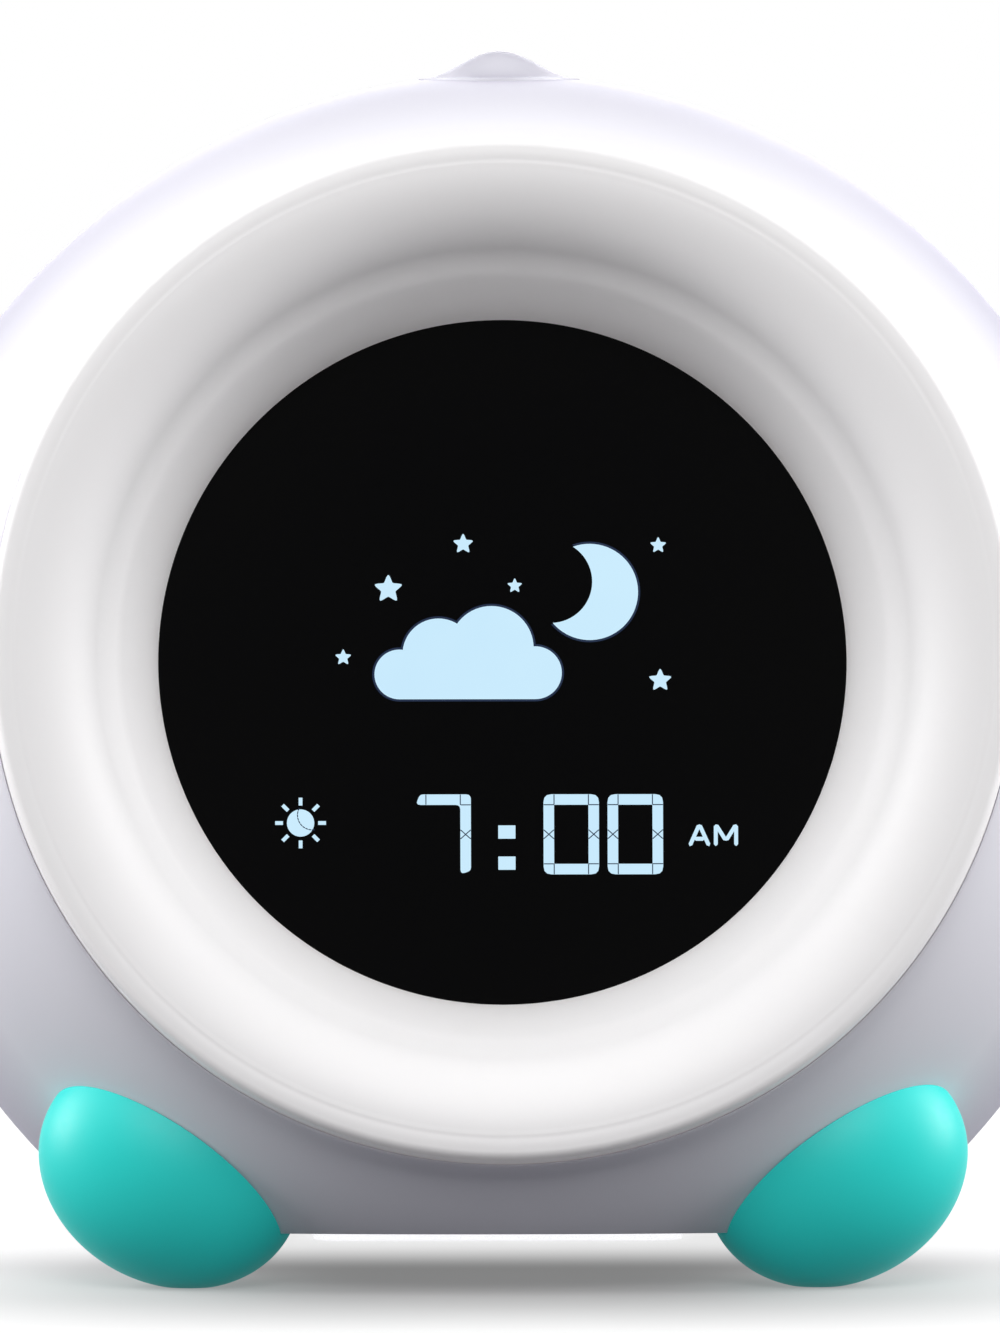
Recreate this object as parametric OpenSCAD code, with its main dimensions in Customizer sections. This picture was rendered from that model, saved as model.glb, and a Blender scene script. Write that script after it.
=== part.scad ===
// Round bedside clock for children with a dished night light ring round a dark display.
// It faces -Y with +Z up and stands on z = 0, on two egg-shaped feet and a rear pad.
// "u" is the distance behind the housing's centre along its own axis, which leans back by tilt.
// "v" is the distance behind the rim of the light ring along the face's axis.

/* [Housing] */
// Radius of the round housing, seen from the front
body_r = 82.2; // [80:0.2:85]
// Radius of the curve from the belt to the front opening
front_round = 48; // [46:0.5:50]
// Radius of the curve from the belt to the rear
rear_round = 40; // [38:0.5:42]
// Radius of the flatter cap that runs in to the rear panel
cap_round = 90; // [80:1:100]
// Depth of the straight belt at the widest place
belt_depth = 8; // [6:0.5:10]
// Wall of both housing shells
wall = 2.4; // [2:0.1:2.8]
// Lean of the housing to the rear, in degrees
tilt = 5.5; // [4.5:0.5:6.5]
// Place of the seam between the shells behind the housing's centre
seam_u = 15; // [14.6:0.2:16]
// Length of the rear shell's tongue inside the front shell
tongue_len = 2.5; // [2:0.5:3.5]

/* [Light ring] */
// Width of the housing's band round the light ring
band_w = 16.7; // [16.2:0.1:18]
// Height of the ring's centre above the housing's axis
ring_rise = 7.9; // [7:0.1:8.5]
// Distance of the ring's rim in front of the housing's centre
ring_reach = 37; // [36:0.2:38]
// Extra lean of the face against the housing, in degrees
face_tilt = 6; // [5:0.5:6.5]
// Width of the flat lip, and its height in front of the ring's rim
lip_w = 3.2; // [2.8:0.1:3.6]
// Radius of the lip's outer edge
lip_edge = 1.2; // [0.8:0.1:1.6]
// Radius of the bell-shaped bowl inside the lip
bowl_round = 12; // [11:0.5:12.5]
// Turn of the bowl from the lip to the ridge, in degrees
bowl_turn = 67; // [64:1:70]
// Width of the small ledge between the bowl and the inner wall
ledge_w = 0.8; // [0.6:0.1:1]
// Wall of the light ring
ring_wall = 1.8; // [1.6:0.1:2]
// Depth of the ring's skirt behind its rim
skirt_depth = 12; // [11.5:0.5:13]
// Thickness of the ring's mounting flange
flange_t = 1.5; // [1.2:0.1:1.8]
// Width of the collar in the front shell that carries the flange
collar_w = 3.5; // [3.2:0.1:3.6]
// Number of screws that hold the ring and the carrier
ring_screw_count = 6; // [4:1:8]

/* [Display] */
// Width of the light ring, from its outer edge to the display
ring_w = 21.4; // [20.6:0.1:22.4]
// Depth of the display behind the ring's rim
view_depth = 13.8; // [13.6:0.1:14.2]
// Overlap of the lens behind the ring's inner edge
lens_overlap = 2.7; // [2.4:0.1:3]
// Thickness of the lens
lens_t = 2; // [1.6:0.1:2.4]
// Width of the display glass
glass_w = 64; // [60:1:68]
// Height of the display glass
glass_h = 48; // [44:1:50]
// Thickness of the display glass
glass_t = 2.8; // [2.4:0.1:3.2]
// Drop of the display glass below the face's centre
glass_drop = 2; // [0:0.5:3]
// Wall of the carrier behind the face
carrier_wall = 1.6; // [1.4:0.1:1.8]
// Width of the ribbon from the glass to the main board
ribbon_w = 30; // [24:1:34]
// Thickness of the ribbon
ribbon_t = 0.3; // [0.2:0.05:0.4]

/* [Boards] */
// Thickness of every circuit board
board_t = 1.6; // [1.2:0.1:1.6]
// Width of the main board
main_w = 78; // [74:1:82]
// Height of the main board
main_h = 56; // [52:1:60]
// Length of the carrier's posts for the main board
post_len = 7; // [6:0.5:8]
// Inset of the posts from the board's edges
post_inset = 5; // [4.5:0.5:6]
// Number of lamps round the light ring
lamp_count = 12; // [8:1:16]
// Width of one lamp
lamp_w = 3.5; // [3:0.1:4]
// Height of one lamp
lamp_h = 1.6; // [1.2:0.1:1.8]

/* [Top button] */
// Radius of the top button's skirt
button_r = 10.4; // [9.6:0.1:10.8]
// Place of the top button behind the housing's centre
button_u = 1; // [0.6:0.1:1.4]
// Height of the top button's rim above the housing's axis, below the housing's radius
button_sink = 1; // [0.8:0.1:1.2]
// Height of the bell above its rim
bell_h = 4.1; // [3.5:0.1:4.6]
// Travel of the top button
button_travel = 1.2; // [0.8:0.1:1.4]
// Width of the flange that keeps the top button in
button_flange = 1.7; // [1.4:0.1:2]

/* [Rear panel] */
// Radius of the rear panel
panel_r = 38.6; // [37:0.2:40]
// Thickness of the rear panel
panel_t = 2.4; // [2:0.1:2.6]
// Width of the ledge that the rear panel sits on
panel_ledge = 2.4; // [2:0.1:2.8]
// Radius of a rear key
key_r = 5.4; // [5:0.1:5.6]
// Spacing of the rear keys across
key_pitch_x = 17.5; // [16.5:0.1:18]
// Spacing of the two rows of rear keys
key_pitch_z = 16; // [15:0.1:16.5]
// Height of the lower row of keys above the panel's centre
key_row_z = 6.5; // [6.2:0.1:7]
// Height of a rear key above the panel
key_proud = 0.9; // [0.6:0.1:1]
// Travel of a rear key
key_travel = 0.8; // [0.5:0.1:0.9]
// Width of a rear key's flange
key_flange = 1.2; // [1:0.1:1.4]
// Depth of the key board behind the panel's inner face
key_board_depth = 7; // [6.6:0.1:8]
// Radius of the speaker
speaker_r = 16; // [15:0.1:16.5]
// Depth of the speaker without its magnet
speaker_depth = 8; // [7:0.1:9]
// Radius of one hole of the speaker grille
grille_hole_r = 1; // [0.8:0.1:1.1]
// Spacing of the rings of grille holes
grille_pitch = 4.4; // [4:0.1:4.6]
// Number of rings of grille holes
grille_rings = 3; // [2:1:3]

/* [Batteries] */
// Radius of one battery
cell_r = 5.2; // [5:0.05:5.25]
// Length of one battery without its terminal
cell_len = 43.5; // [42:0.1:44]
// Spacing of the two batteries, side by side
cell_pitch = 10.7; // [10.6:0.1:10.8]
// Room for the contacts and terminals at the two ends of a battery
contact_room = 6.5; // [5.8:0.1:7.4]
// Thickness of the battery door
door_t = 1.3; // [1.1:0.1:1.5]
// Width of the tab that takes the battery door's screw
door_tab_w = 14; // [12:0.5:16]

/* [Feet] */
// Half length of a foot along its long axis
foot_a = 17.4; // [16.5:0.1:18]
// Half height of a foot across its long axis
foot_b = 14.6; // [14:0.1:15]
// Half depth of a foot, front to rear
foot_c = 10.7; // [10:0.1:11.5]
// Slope of a foot's long axis, down towards the middle, in degrees
foot_slope = 27.9; // [24:0.1:32]
// Distance of a foot's centre inside the housing's radius
foot_sink = 9.8; // [9.2:0.1:10.6]
// Angle of a foot's centre from straight down, in degrees
foot_angle = 36.1; // [34:0.1:38]
// Distance of a foot's centre in front of the housing's centre
foot_reach = 25.4; // [24:0.1:26.5]
// Height of a foot's centre above the housing's flat base
foot_lift = 8.1; // [7.4:0.1:9]
// Depth of the flat that a foot stands on
foot_flat = 0.3; // [0.2:0.05:0.5]
// Width of the rear pad
pad_w = 48; // [40:1:52]
// Depth of the rear pad, front to rear
pad_d = 10; // [8:0.5:11]

/* [Fits] */
// Gap between pieces that slide or drop into each other
fit = 0.2; // [0.15:0.05:0.25]
// Radius of a screw's shank
screw_r = 1; // [0.9:0.05:1.1]
// Radius of a large housing screw's shank
big_screw_r = 1.5; // [1.3:0.1:1.6]

/* [Hidden] */
$fn = 96;

// Far enough to cut right through anything
far = 300;
// Thin overlap that lets a cut break through a face
eps = 0.5;

// Sizes that follow the housing's radius, from the outside in
foot_dist = body_r - foot_sink;
base_drop = foot_dist * cos(foot_angle) + foot_lift;
ring_r = body_r - band_w;
view_r = ring_r - ring_w;
bay_len = cell_len + contact_room;

// Housing profile: centres of its arcs, as radius and u
front_cr = body_r - front_round;
rear_cr = body_r - rear_round;
front_turn = 68;
rear_turn = 60;
cap_cr = rear_cr + (rear_round - cap_round) * cos(rear_turn);
cap_cu = belt_depth + (rear_round - cap_round) * sin(rear_turn);
rim_r = panel_r + fit + 0.6;
rim_u = cap_cu + sqrt(pow(cap_round, 2) - pow(rim_r - cap_cr, 2));
seat_u = rim_u - panel_t;
ledge_u = seat_u - wall;

// Heights in the world, so that the feet's flats are at z = 0
foot_x = foot_dist * sin(foot_angle);
foot_w = -foot_dist * cos(foot_angle);
foot_drop = norm([
    foot_a * sin(foot_slope) * cos(tilt),
    foot_b * cos(foot_slope) * cos(tilt),
    foot_c * sin(tilt)
]);
body_h = foot_drop - foot_flat - foot_reach * sin(tilt) - foot_w * cos(tilt);

// The housing is set so that the origin lies under the middle of the whole
face_lean = tilt + face_tilt;
lip_front = (ring_r - lip_edge) * sin(face_lean) + (lip_w - lip_edge) * cos(face_lean) + lip_edge;
face_front = ring_reach * cos(tilt) - ring_rise * sin(tilt) + lip_front;
face_rear = rim_u * cos(tilt) + rim_r * sin(tilt);
body_y = (face_front - face_rear) / 2;

// Face stack, as distances behind the ring's rim
flange_r = ring_r + collar_w;
rim_plate_v = skirt_depth + flange_t;
lens_r = view_r + lens_overlap;
glass_v = view_depth + lens_t + 0.1;
tray_v = glass_v + glass_t + 0.1;
carrier_back_v = tray_v + carrier_wall;
tray_in_r = lens_r + fit + carrier_wall + 0.2;
tray_out_r = ring_r - ring_wall - 1;
lamp_board_v = tray_v - board_t;
lamp_ring_r = (tray_in_r + tray_out_r) / 2;
main_v = carrier_back_v + post_len;
post_r = 3;
post_x = main_w / 2 - post_inset;
post_z = main_h / 2 - post_inset;
main_z = 2;
ribbon_z = -glass_drop - glass_h / 2 + 1.4;
ring_screw_r = ring_r + collar_w / 2 + 0.15;
ring_screw_grip = 4.4;

// Bosses that join the two shells, close inside the wall
boss_r = 4;
boss_dist = body_r - wall - boss_r + 0.6;
boss_angles = [25, 155, 205, 335];
boss_floor_u = seam_u + 3;
big_head_r = 2.8;
tongue_r = rear_cr + sqrt(pow(rear_round - wall, 2) - pow(seam_u - belt_depth, 2)) - fit;

// Top button stack, as heights above the housing's axis
button_rim_w = body_r - button_sink;
sleeve_r = button_r + fit + 1.6;
sleeve_end_w = body_r - wall - 3;
button_shelf_w = sleeve_end_w - fit;
button_flange_t = 1.2;
switch_top_w = button_shelf_w - button_flange_t - button_travel - 0.1;
switch_h = 4.3;
button_board_w = switch_top_w - switch_h - board_t;
button_board_l = 42;
button_board_d = 14;
button_post_x = 17;

// Rear keys, in the order of their nodes, as places on the panel
key_places = [for (row = [1, 0], column = [-1, 0, 1]) [column * key_pitch_x, key_row_z + row * key_pitch_z]];
key_flange_t = 1;
key_board_u = seat_u - key_board_depth;
key_board_r = panel_r - panel_ledge - 1;
key_board_edge_z = -1;
key_screw_places = [[-28.5, 4], [28.5, 4], [0, 31.8]];
key_switch_h = key_board_depth - key_flange_t - key_travel - fit;

// Speaker and grille
speaker_z = -18.5;
speaker_screw_x = speaker_r + 2.4;
speaker_flange_t = 1.2;
magnet_r = 8.5;
magnet_t = 5;
usb_x = -27;
usb_z = -13;
usb_w = 3.3;
usb_h = 9;

// Battery compartment in the base
bay_d = 2 * cell_pitch;
bay_u = 1;
bay_front_u = bay_u - bay_d / 2;
bay_wall = 1.4;
door_top_w = -base_drop + door_t;
cell_w = -base_drop + wall + fit + cell_r;
bay_top_w = cell_w + cell_r + 0.3;
door_margin = 1.6;
door_boss_r = 3.4;
door_screw_u = bay_front_u - bay_wall - door_boss_r;
door_screw_head_t = 0.8;
contact_t = 0.4;
terminal_len = 1;

// Foot fixing, square to the housing's curve
foot_axis_cr = foot_dist - front_cr;
foot_axis_len = norm([foot_axis_cr, foot_reach]);
foot_peg_r = 3.4;
foot_peg_in = front_round - wall - 0.6;
foot_screw_len = 9;

// ---- Frames ----

// Places children in the housing's own leaning frame
module in_body() {
    translate([0, body_y, body_h])
        rotate([-tilt, 0, 0])
            children();
}

// Places children on the face as seen from the housing's own frame, with the ring's rim at v = 0
module on_face() {
    translate([0, -ring_reach, ring_rise])
        rotate([-face_tilt, 0, 0])
            children();
}

// Places children in the frame of the face
module in_face() {
    in_body()
        on_face()
            children();
}

// Places children on the outward line through a foot's centre, with +Z pointing out
module on_foot_axis(side) {
    out = [side * foot_axis_cr * sin(foot_angle), -foot_reach, -foot_axis_cr * cos(foot_angle)];
    translate([side * front_cr * sin(foot_angle), 0, -front_cr * cos(foot_angle)])
        rotate([0, acos(out[2] / foot_axis_len), atan2(out[1], out[0])])
            children();
}

// ---- Shared shapes ----

function arc(cr, cu, r, from, to, steps) =
    [for (i = [0 : steps]) let (a = from + (to - from) * i / steps) [cr + r * cos(a), cu + r * sin(a)]];

// Turns an outline of radius and depth about the frame's own Y axis
module turned(points) {
    rotate([-90, 0, 0])
        rotate_extrude()
            polygon(points);
}

// Rod along Y from one depth to another
module rod(r, from, to, x = 0, z = 0) {
    translate([x, from, z])
        rotate([-90, 0, 0])
            cylinder(r = r, h = to - from);
}

// Block along Y from one depth to another, centred on x and z
module block(w, h, from, to, x = 0, z = 0) {
    translate([x - w / 2, from, z - h / 2])
        cube([w, to - from, h]);
}

// Everything under the base at a distance inside the outer surface
module under_base(inset) {
    translate([-far / 2, -far / 2, -base_drop + inset - far])
        cube([far, far, far]);
}

// Angle on the rear arc where a surface at this inset crosses a depth
function rear_angle(inset, u) = asin((u - belt_depth) / (rear_round - inset));

// Solid of the housing in front of a depth
module front_solid(inset, end_u) {
    r = front_round - inset;
    difference() {
        turned(concat(
            [[0, end_u]],
            arc(rear_cr, belt_depth, rear_round - inset, rear_angle(inset, end_u), 0, 2),
            arc(front_cr, 0, r, 0, -front_turn, 17),
            [[0, -r * sin(front_turn)]]
        ));
        under_base(inset);
    }
}

// Solid of the housing behind a depth, up to another one on the cap
module rear_solid(inset, start_u, end_u) {
    r = cap_round - inset;
    difference() {
        turned(concat(
            [[0, start_u]],
            arc(rear_cr, belt_depth, rear_round - inset, rear_angle(inset, start_u), rear_turn, 12),
            arc(cap_cr, cap_cu, r, rear_turn + 2, asin((end_u - cap_cu) / r), 5),
            [[0, end_u]]
        ));
        under_base(inset);
    }
}

// Cross-recessed screw with its head's seat at z = 0, pointing down
module screw(shank_r, head_r, head_t, length) {
    difference() {
        union() {
            cylinder(r = head_r, h = head_t);
            translate([0, 0, -length])
                cylinder(r = shank_r, h = length + 0.1);
        }
        for (turn = [0, 90])
            rotate([0, 0, turn])
                translate([-head_r * 0.6, -head_r * 0.12, head_t * 0.5])
                    cube([head_r * 1.2, head_r * 0.24, head_t]);
    }
}

// Screw that points towards -Y with its head's seat at a depth
module screw_along(u, x, z, shank_r, head_r, head_t, length) {
    translate([x, u, z])
        rotate([-90, 0, 0])
            screw(shank_r, head_r, head_t, length);
}

// ---- Housing ----

module boss_rods(r, from, to) {
    for (a = boss_angles)
        rod(r, from, to, boss_dist * cos(a), boss_dist * sin(a));
}

// Sleeve, hole or post along the top button's axis
module button_rod(r, from, to, x = 0) {
    translate([x, button_u, from])
        cylinder(r = r, h = to - from);
}

// Outline of the battery compartment grown by a margin
module bay_box(grow, from, to) {
    translate([-bay_len / 2 - grow, bay_front_u - grow, from])
        cube([bay_len + 2 * grow, bay_d + 2 * grow, to - from]);
}

// Plate with rounded corners about a centre on the base
module round_plate(w, d, corner, from, to, u) {
    translate([0, u, from])
        linear_extrude(to - from)
            union() {
                square([w, d - 2 * corner], center = true);
                square([w - 2 * corner, d], center = true);
                for (x = [-1, 1], y = [-1, 1])
                    translate([x * (w / 2 - corner), y * (d / 2 - corner)])
                        circle(r = corner);
            }
}

// Plate in the shape of the battery door grown by a gap, with its screw tab in front
module door_plate(grow, from, to) {
    tab_front_u = door_screw_u - door_boss_r - 1;
    tab_d = bay_u - tab_front_u;
    w = bay_len + 2 * (door_margin + grow);
    d = bay_d + 2 * (door_margin + grow);
    round_plate(w, d, 3 + grow, from, to, bay_u);
    round_plate(door_tab_w + 2 * grow, tab_d + grow, 3 + grow, from, to, tab_front_u + (tab_d - grow) / 2);
}

module front_shell() {
    color("white")
        in_body()
            difference() {
                union() {
                    difference() {
                        front_solid(0, seam_u);
                        front_solid(wall, seam_u + eps);
                        front_shell_face_cut();
                    }
                    intersection() {
                        front_solid(wall / 2, seam_u);
                        front_shell_inside();
                    }
                }
                button_rod(button_r + fit, sleeve_end_w - eps, body_r + 10);
                boss_rods(big_screw_r - 0.2, seam_u - 12, seam_u + eps);
                bay_box(0, -base_drop - eps, bay_top_w);
                door_plate(fit, -base_drop - eps, door_top_w);
                translate([0, door_screw_u, -base_drop - eps])
                    cylinder(r = screw_r + 0.1, h = 12);
                for (end = [-1, 1])
                    translate([end * button_post_x, button_u, button_board_w])
                        cylinder(r = screw_r + 0.1, h = 7);
                for (side = [-1, 1])
                    on_foot_axis(side)
                        translate([0, 0, foot_peg_in - 6])
                            cylinder(r = foot_peg_r + fit, h = 20);
                on_face()
                    ring_screw_rods(screw_r + 0.05, skirt_depth - ring_screw_grip, skirt_depth + 1);
            }
}

// Hole that the light ring stands in
module front_shell_face_cut() {
    on_face()
        rod(ring_r + fit, -30, skirt_depth);
}

// Collar, bosses, sleeve and battery walls before they are trimmed to the shell
module front_shell_inside() {
    on_face()
        difference() {
            rod(flange_r + fit, -12, skirt_depth);
            rod(ring_r + fit, -13, skirt_depth + 1);
        }
    boss_rods(boss_r, -30, seam_u);
    button_rod(sleeve_r, sleeve_end_w, body_r);
    for (end = [-1, 1])
        button_rod(2.6, button_board_w + board_t, body_r, end * button_post_x);
    bay_box(bay_wall, -base_drop, bay_top_w + bay_wall);
    translate([0, door_screw_u, -base_drop])
        cylinder(r = door_boss_r, h = 13);
}

module rear_shell() {
    color("white")
        in_body()
            difference() {
                union() {
                    difference() {
                        rear_solid(0, seam_u, rim_u);
                        rear_solid(wall, seam_u - eps, ledge_u);
                    }
                    intersection() {
                        rear_solid(wall / 2, seam_u, ledge_u);
                        boss_rods(boss_r, seam_u, seam_u + 30);
                    }
                    rear_shell_tongue();
                }
                rod(panel_r + fit, seat_u, rim_u + 5);
                rod(panel_r - panel_ledge, seam_u, rim_u);
                boss_rods(big_screw_r + 0.2, seam_u - eps, seam_u + 20);
                boss_rods(big_head_r + 0.6, boss_floor_u, seam_u + 40);
            }
}

// Tongue of the rear shell that lines the seam, open at the bosses
module rear_shell_tongue() {
    difference() {
        turned([
            [tongue_r - 1.4, seam_u - tongue_len],
            [tongue_r, seam_u - tongue_len],
            [tongue_r, seam_u + 4],
            [tongue_r - 1.4, seam_u + 4]
        ]);
        under_base(wall + fit);
        boss_rods(boss_r + 0.5, seam_u - 10, seam_u + 10);
        button_rod(sleeve_r + 0.3, sleeve_end_w - 5, body_r);
    }
}

module housing_screws() {
    color("silver")
        in_body()
            for (a = boss_angles)
                screw_along(
                    boss_floor_u, boss_dist * cos(a), boss_dist * sin(a),
                    big_screw_r - 0.3, big_head_r, 1.8, 11
                );
}

// ---- Face ----

// Skin of the dished ring: flat lip, bell-shaped bowl, ledge and steep inner wall
module light_ring() {
    lip_cr = ring_r - lip_w;
    bowl_cv = bowl_round - lip_w;
    bowl_end = -90 - bowl_turn;
    ridge_r = lip_cr + bowl_round * cos(bowl_end);
    ridge_v = bowl_cv + bowl_round * sin(bowl_end);
    inner_top = [ridge_r - ledge_w, ridge_v + 0.25];
    inner_end = [view_r, view_depth - 0.6];
    run = inner_end - inner_top;
    back = [-run[1], run[0]] * (-ring_wall / norm(run));
    back_slope = run[0] / run[1];
    back_end_r = inner_end[0] + back[0] + back_slope * (view_depth - inner_end[1] - back[1]);
    // The inner wall bends until it runs straight back at the display
    bend = [view_r + 0.8, view_depth - 3.2];
    wall_end = [view_r, view_depth];
    inner_wall = [for (s = [0 : 0.2 : 1]) inner_top * pow(1 - s, 2) + bend * (2 * s * (1 - s)) + wall_end * pow(s, 2)];
    color("ghostwhite")
        in_face()
            difference() {
                turned(concat(
                    [[ring_r, skirt_depth]],
                    arc(ring_r - lip_edge, lip_edge - lip_w, lip_edge, 0, -90, 4),
                    arc(lip_cr, bowl_cv, bowl_round, -90, bowl_end, 14),
                    inner_wall,
                    [[back_end_r, view_depth], inner_top + back],
                    arc(lip_cr, bowl_cv, bowl_round - ring_wall, bowl_end, -90, 10),
                    [[ring_r - ring_wall, ring_wall - lip_w], [ring_r - ring_wall, rim_plate_v]],
                    [[flange_r, rim_plate_v], [flange_r, skirt_depth]]
                ));
                ring_screw_rods(screw_r + 0.2, skirt_depth - 1, rim_plate_v + 1);
            }
}

// Rods along the ring's screws, for the holes that take them
module ring_screw_rods(r, from, to) {
    for (i = [0 : ring_screw_count - 1])
        let (a = 360 * i / ring_screw_count)
            rod(r, from, to, ring_screw_r * cos(a), ring_screw_r * sin(a));
}

module ring_screws() {
    color("silver")
        in_face()
            for (i = [0 : ring_screw_count - 1])
                let (a = 360 * i / ring_screw_count)
                    screw_along(
                        rim_plate_v + carrier_wall, ring_screw_r * cos(a), ring_screw_r * sin(a),
                        screw_r - 0.05, 1.6, 1.1, flange_t + carrier_wall + ring_screw_grip - 0.6
                    );
}

module display_lens() {
    color([0.04, 0.04, 0.05])
        in_face()
            turned([
                [0, view_depth], [lens_r - 0.3, view_depth], [lens_r, view_depth + 0.3],
                [lens_r, view_depth + lens_t], [0, view_depth + lens_t]
            ]);
}

module display_glass() {
    color([0.1, 0.12, 0.16])
        in_face()
            block(glass_w, glass_h, glass_v, glass_v + glass_t, 0, -glass_drop);
}

// Tray that holds the lens, the glass and the lamp board, and clamps the ring to its collar
module display_carrier() {
    pocket_r = lens_r + fit;
    color("whitesmoke")
        in_face()
            difference() {
                union() {
                    turned([
                        [0, glass_v], [pocket_r, glass_v], [pocket_r, view_depth + 0.1],
                        [tray_in_r, view_depth + 0.1], [tray_in_r, tray_v], [tray_out_r, tray_v],
                        [tray_out_r, rim_plate_v], [flange_r, rim_plate_v],
                        [flange_r, rim_plate_v + carrier_wall],
                        [tray_out_r + carrier_wall, rim_plate_v + carrier_wall],
                        [tray_out_r + carrier_wall, carrier_back_v], [0, carrier_back_v]
                    ]);
                    carrier_posts(post_r, tray_v, main_v);
                }
                block(glass_w + 2 * fit, glass_h + 2 * fit, glass_v - eps, tray_v, 0, -glass_drop);
                block(ribbon_w + 2, 2.4, tray_v - eps, carrier_back_v + eps, 0, ribbon_z);
                carrier_posts(screw_r + 0.05, main_v - 6, main_v + eps);
                ring_screw_rods(screw_r + 0.2, rim_plate_v - 1, rim_plate_v + carrier_wall + 1);
            }
}

// Four posts for the main board, or the holes in them
module carrier_posts(r, from, to) {
    for (side = [-1, 1], level = [-1, 1])
        rod(r, from, to, side * post_x, main_z + level * post_z);
}

// Flat ribbon from the back of the glass to the front of the main board
module display_ribbon() {
    start_v = glass_v + glass_t;
    color("peru")
        in_face()
            translate([-ribbon_w / 2, 0, ribbon_z])
                rotate([90, 0, 90])
                    linear_extrude(ribbon_w)
                        polygon([
                            [start_v, 0], [main_v - ribbon_t, 0], [main_v - ribbon_t, 6], [main_v, 6],
                            [main_v, -ribbon_t], [start_v, -ribbon_t]
                        ]);
}

module lamp_board() {
    color("ivory")
        in_face()
            difference() {
                rod(tray_out_r - fit, lamp_board_v, lamp_board_v + board_t);
                rod(tray_in_r + fit, lamp_board_v - eps, lamp_board_v + board_t + eps);
            }
}

// Ring of lamps that shine forward into the bowl
module lamps() {
    color("lightyellow")
        in_face()
            for (i = [0 : lamp_count - 1])
                rotate([0, 360 * i / lamp_count, 0])
                    difference() {
                        block(lamp_w, lamp_w, lamp_board_v - lamp_h, lamp_board_v, 0, lamp_ring_r);
                        rod(lamp_w * 0.36, lamp_board_v - lamp_h - eps, lamp_board_v - lamp_h + 0.3, 0, lamp_ring_r);
                    }
}

module main_board() {
    color("darkgreen")
        in_face()
            difference() {
                block(main_w, main_h, main_v, main_v + board_t, 0, main_z);
                carrier_posts(screw_r + 0.2, main_v - eps, main_v + board_t + eps);
            }
}

// Chips, connectors and capacitors on the back of the main board
module board_parts() {
    top_v = main_v + board_t;
    color("dimgray")
        in_face() {
            block(12, 12, top_v, top_v + 1.2, -8, main_z + 6);
            block(8, 6, top_v, top_v + 1.2, 12, main_z + 12);
            block(16, 5, top_v, top_v + 5, -14, main_z - 18);
            block(10, 5, top_v, top_v + 5, 14, main_z - 18);
            rod(4, top_v, top_v + 8, 26, main_z + 4);
            rod(3, top_v, top_v + 6, 26, main_z - 8);
            rod(1.6, top_v, top_v + 3.4, -24, main_z + 6);
        }
}

module board_screws() {
    color("silver")
        in_face()
            for (side = [-1, 1], level = [-1, 1])
                screw_along(
                    main_v + board_t, side * post_x, main_z + level * post_z,
                    screw_r - 0.05, 2, 1.3, board_t + 5
                );
}

// ---- Top button ----

// Bell-shaped button with a skirt, a flange and a central stem
module top_button() {
    bell = [for (i = [0 : 16]) let (s = 1 - i / 16) [button_r * s, button_rim_w + bell_h * (1 + cos(180 * s)) / 2]];
    color("white")
        in_body()
            translate([0, button_u, 0])
                union() {
                    rotate_extrude()
                        polygon(concat(
                            bell,
                            [[0, button_rim_w - 1.6], [button_r - 1.8, button_rim_w - 1.6]],
                            [[button_r - 1.8, button_shelf_w - button_flange_t]],
                            [[button_r + button_flange, button_shelf_w - button_flange_t]],
                            [[button_r + button_flange, button_shelf_w], [button_r, button_shelf_w]]
                        ));
                    translate([0, 0, switch_top_w + button_travel + 0.1])
                        cylinder(r = 2, h = button_rim_w - 1 - switch_top_w - button_travel - 0.1);
                }
}

module button_board() {
    color("darkgreen")
        in_body()
            difference() {
                translate([-button_board_l / 2, button_u - button_board_d / 2, button_board_w])
                    cube([button_board_l, button_board_d, board_t]);
                for (end = [-1, 1])
                    button_rod(screw_r + 0.2, button_board_w - eps, button_board_w + board_t + eps, end * button_post_x);
            }
}

// Push switch with its plunger a full travel under the button's stem
module button_switch() {
    color("black")
        in_body() {
            translate([-3, button_u - 3, button_board_w + board_t])
                cube([6, 6, switch_h - 1]);
            button_rod(1.7, button_board_w + board_t + switch_h - 1.1, switch_top_w);
        }
}

module button_screws() {
    color("silver")
        in_body()
            for (end = [-1, 1])
                translate([end * button_post_x, button_u, button_board_w])
                    rotate([180, 0, 0])
                        screw(screw_r - 0.05, 1.9, 1.2, board_t + 5);
}

// ---- Rear panel and keys ----

// Hole places of the speaker grille: a centre hole and rings of 6, 12 and 18
grille_places = concat(
    [[0, 0]],
    [for (ring = [1 : grille_rings], i = [0 : 6 * ring - 1])
        grille_pitch * ring * [cos(60 * i / ring), sin(60 * i / ring)]]
);

module rear_panel() {
    color("whitesmoke")
        in_body()
            difference() {
                union() {
                    rod(panel_r, seat_u, seat_u + panel_t);
                    for (p = key_screw_places)
                        rod(2.4, key_board_u + board_t, seat_u + eps, p[0], p[1]);
                    for (side = [-1, 1])
                        rod(2.2, seat_u - speaker_flange_t, seat_u + eps, side * speaker_screw_x, speaker_z);
                }
                for (p = key_places)
                    rod(key_r + fit, seat_u - eps, seat_u + panel_t + eps, p[0], p[1]);
                for (p = grille_places)
                    rod(grille_hole_r, seat_u - eps, seat_u + panel_t + eps, p[0], speaker_z + p[1]);
                block(usb_w + fit, usb_h + fit, seat_u - eps, seat_u + panel_t + eps, usb_x, usb_z);
                for (p = key_screw_places)
                    rod(screw_r + 0.05, key_board_u + board_t - eps, seat_u + 0.6, p[0], p[1]);
                for (side = [-1, 1])
                    rod(
                        screw_r + 0.05, seat_u - speaker_flange_t - eps, seat_u + 1.6,
                        side * speaker_screw_x, speaker_z
                    );
            }
}

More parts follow.
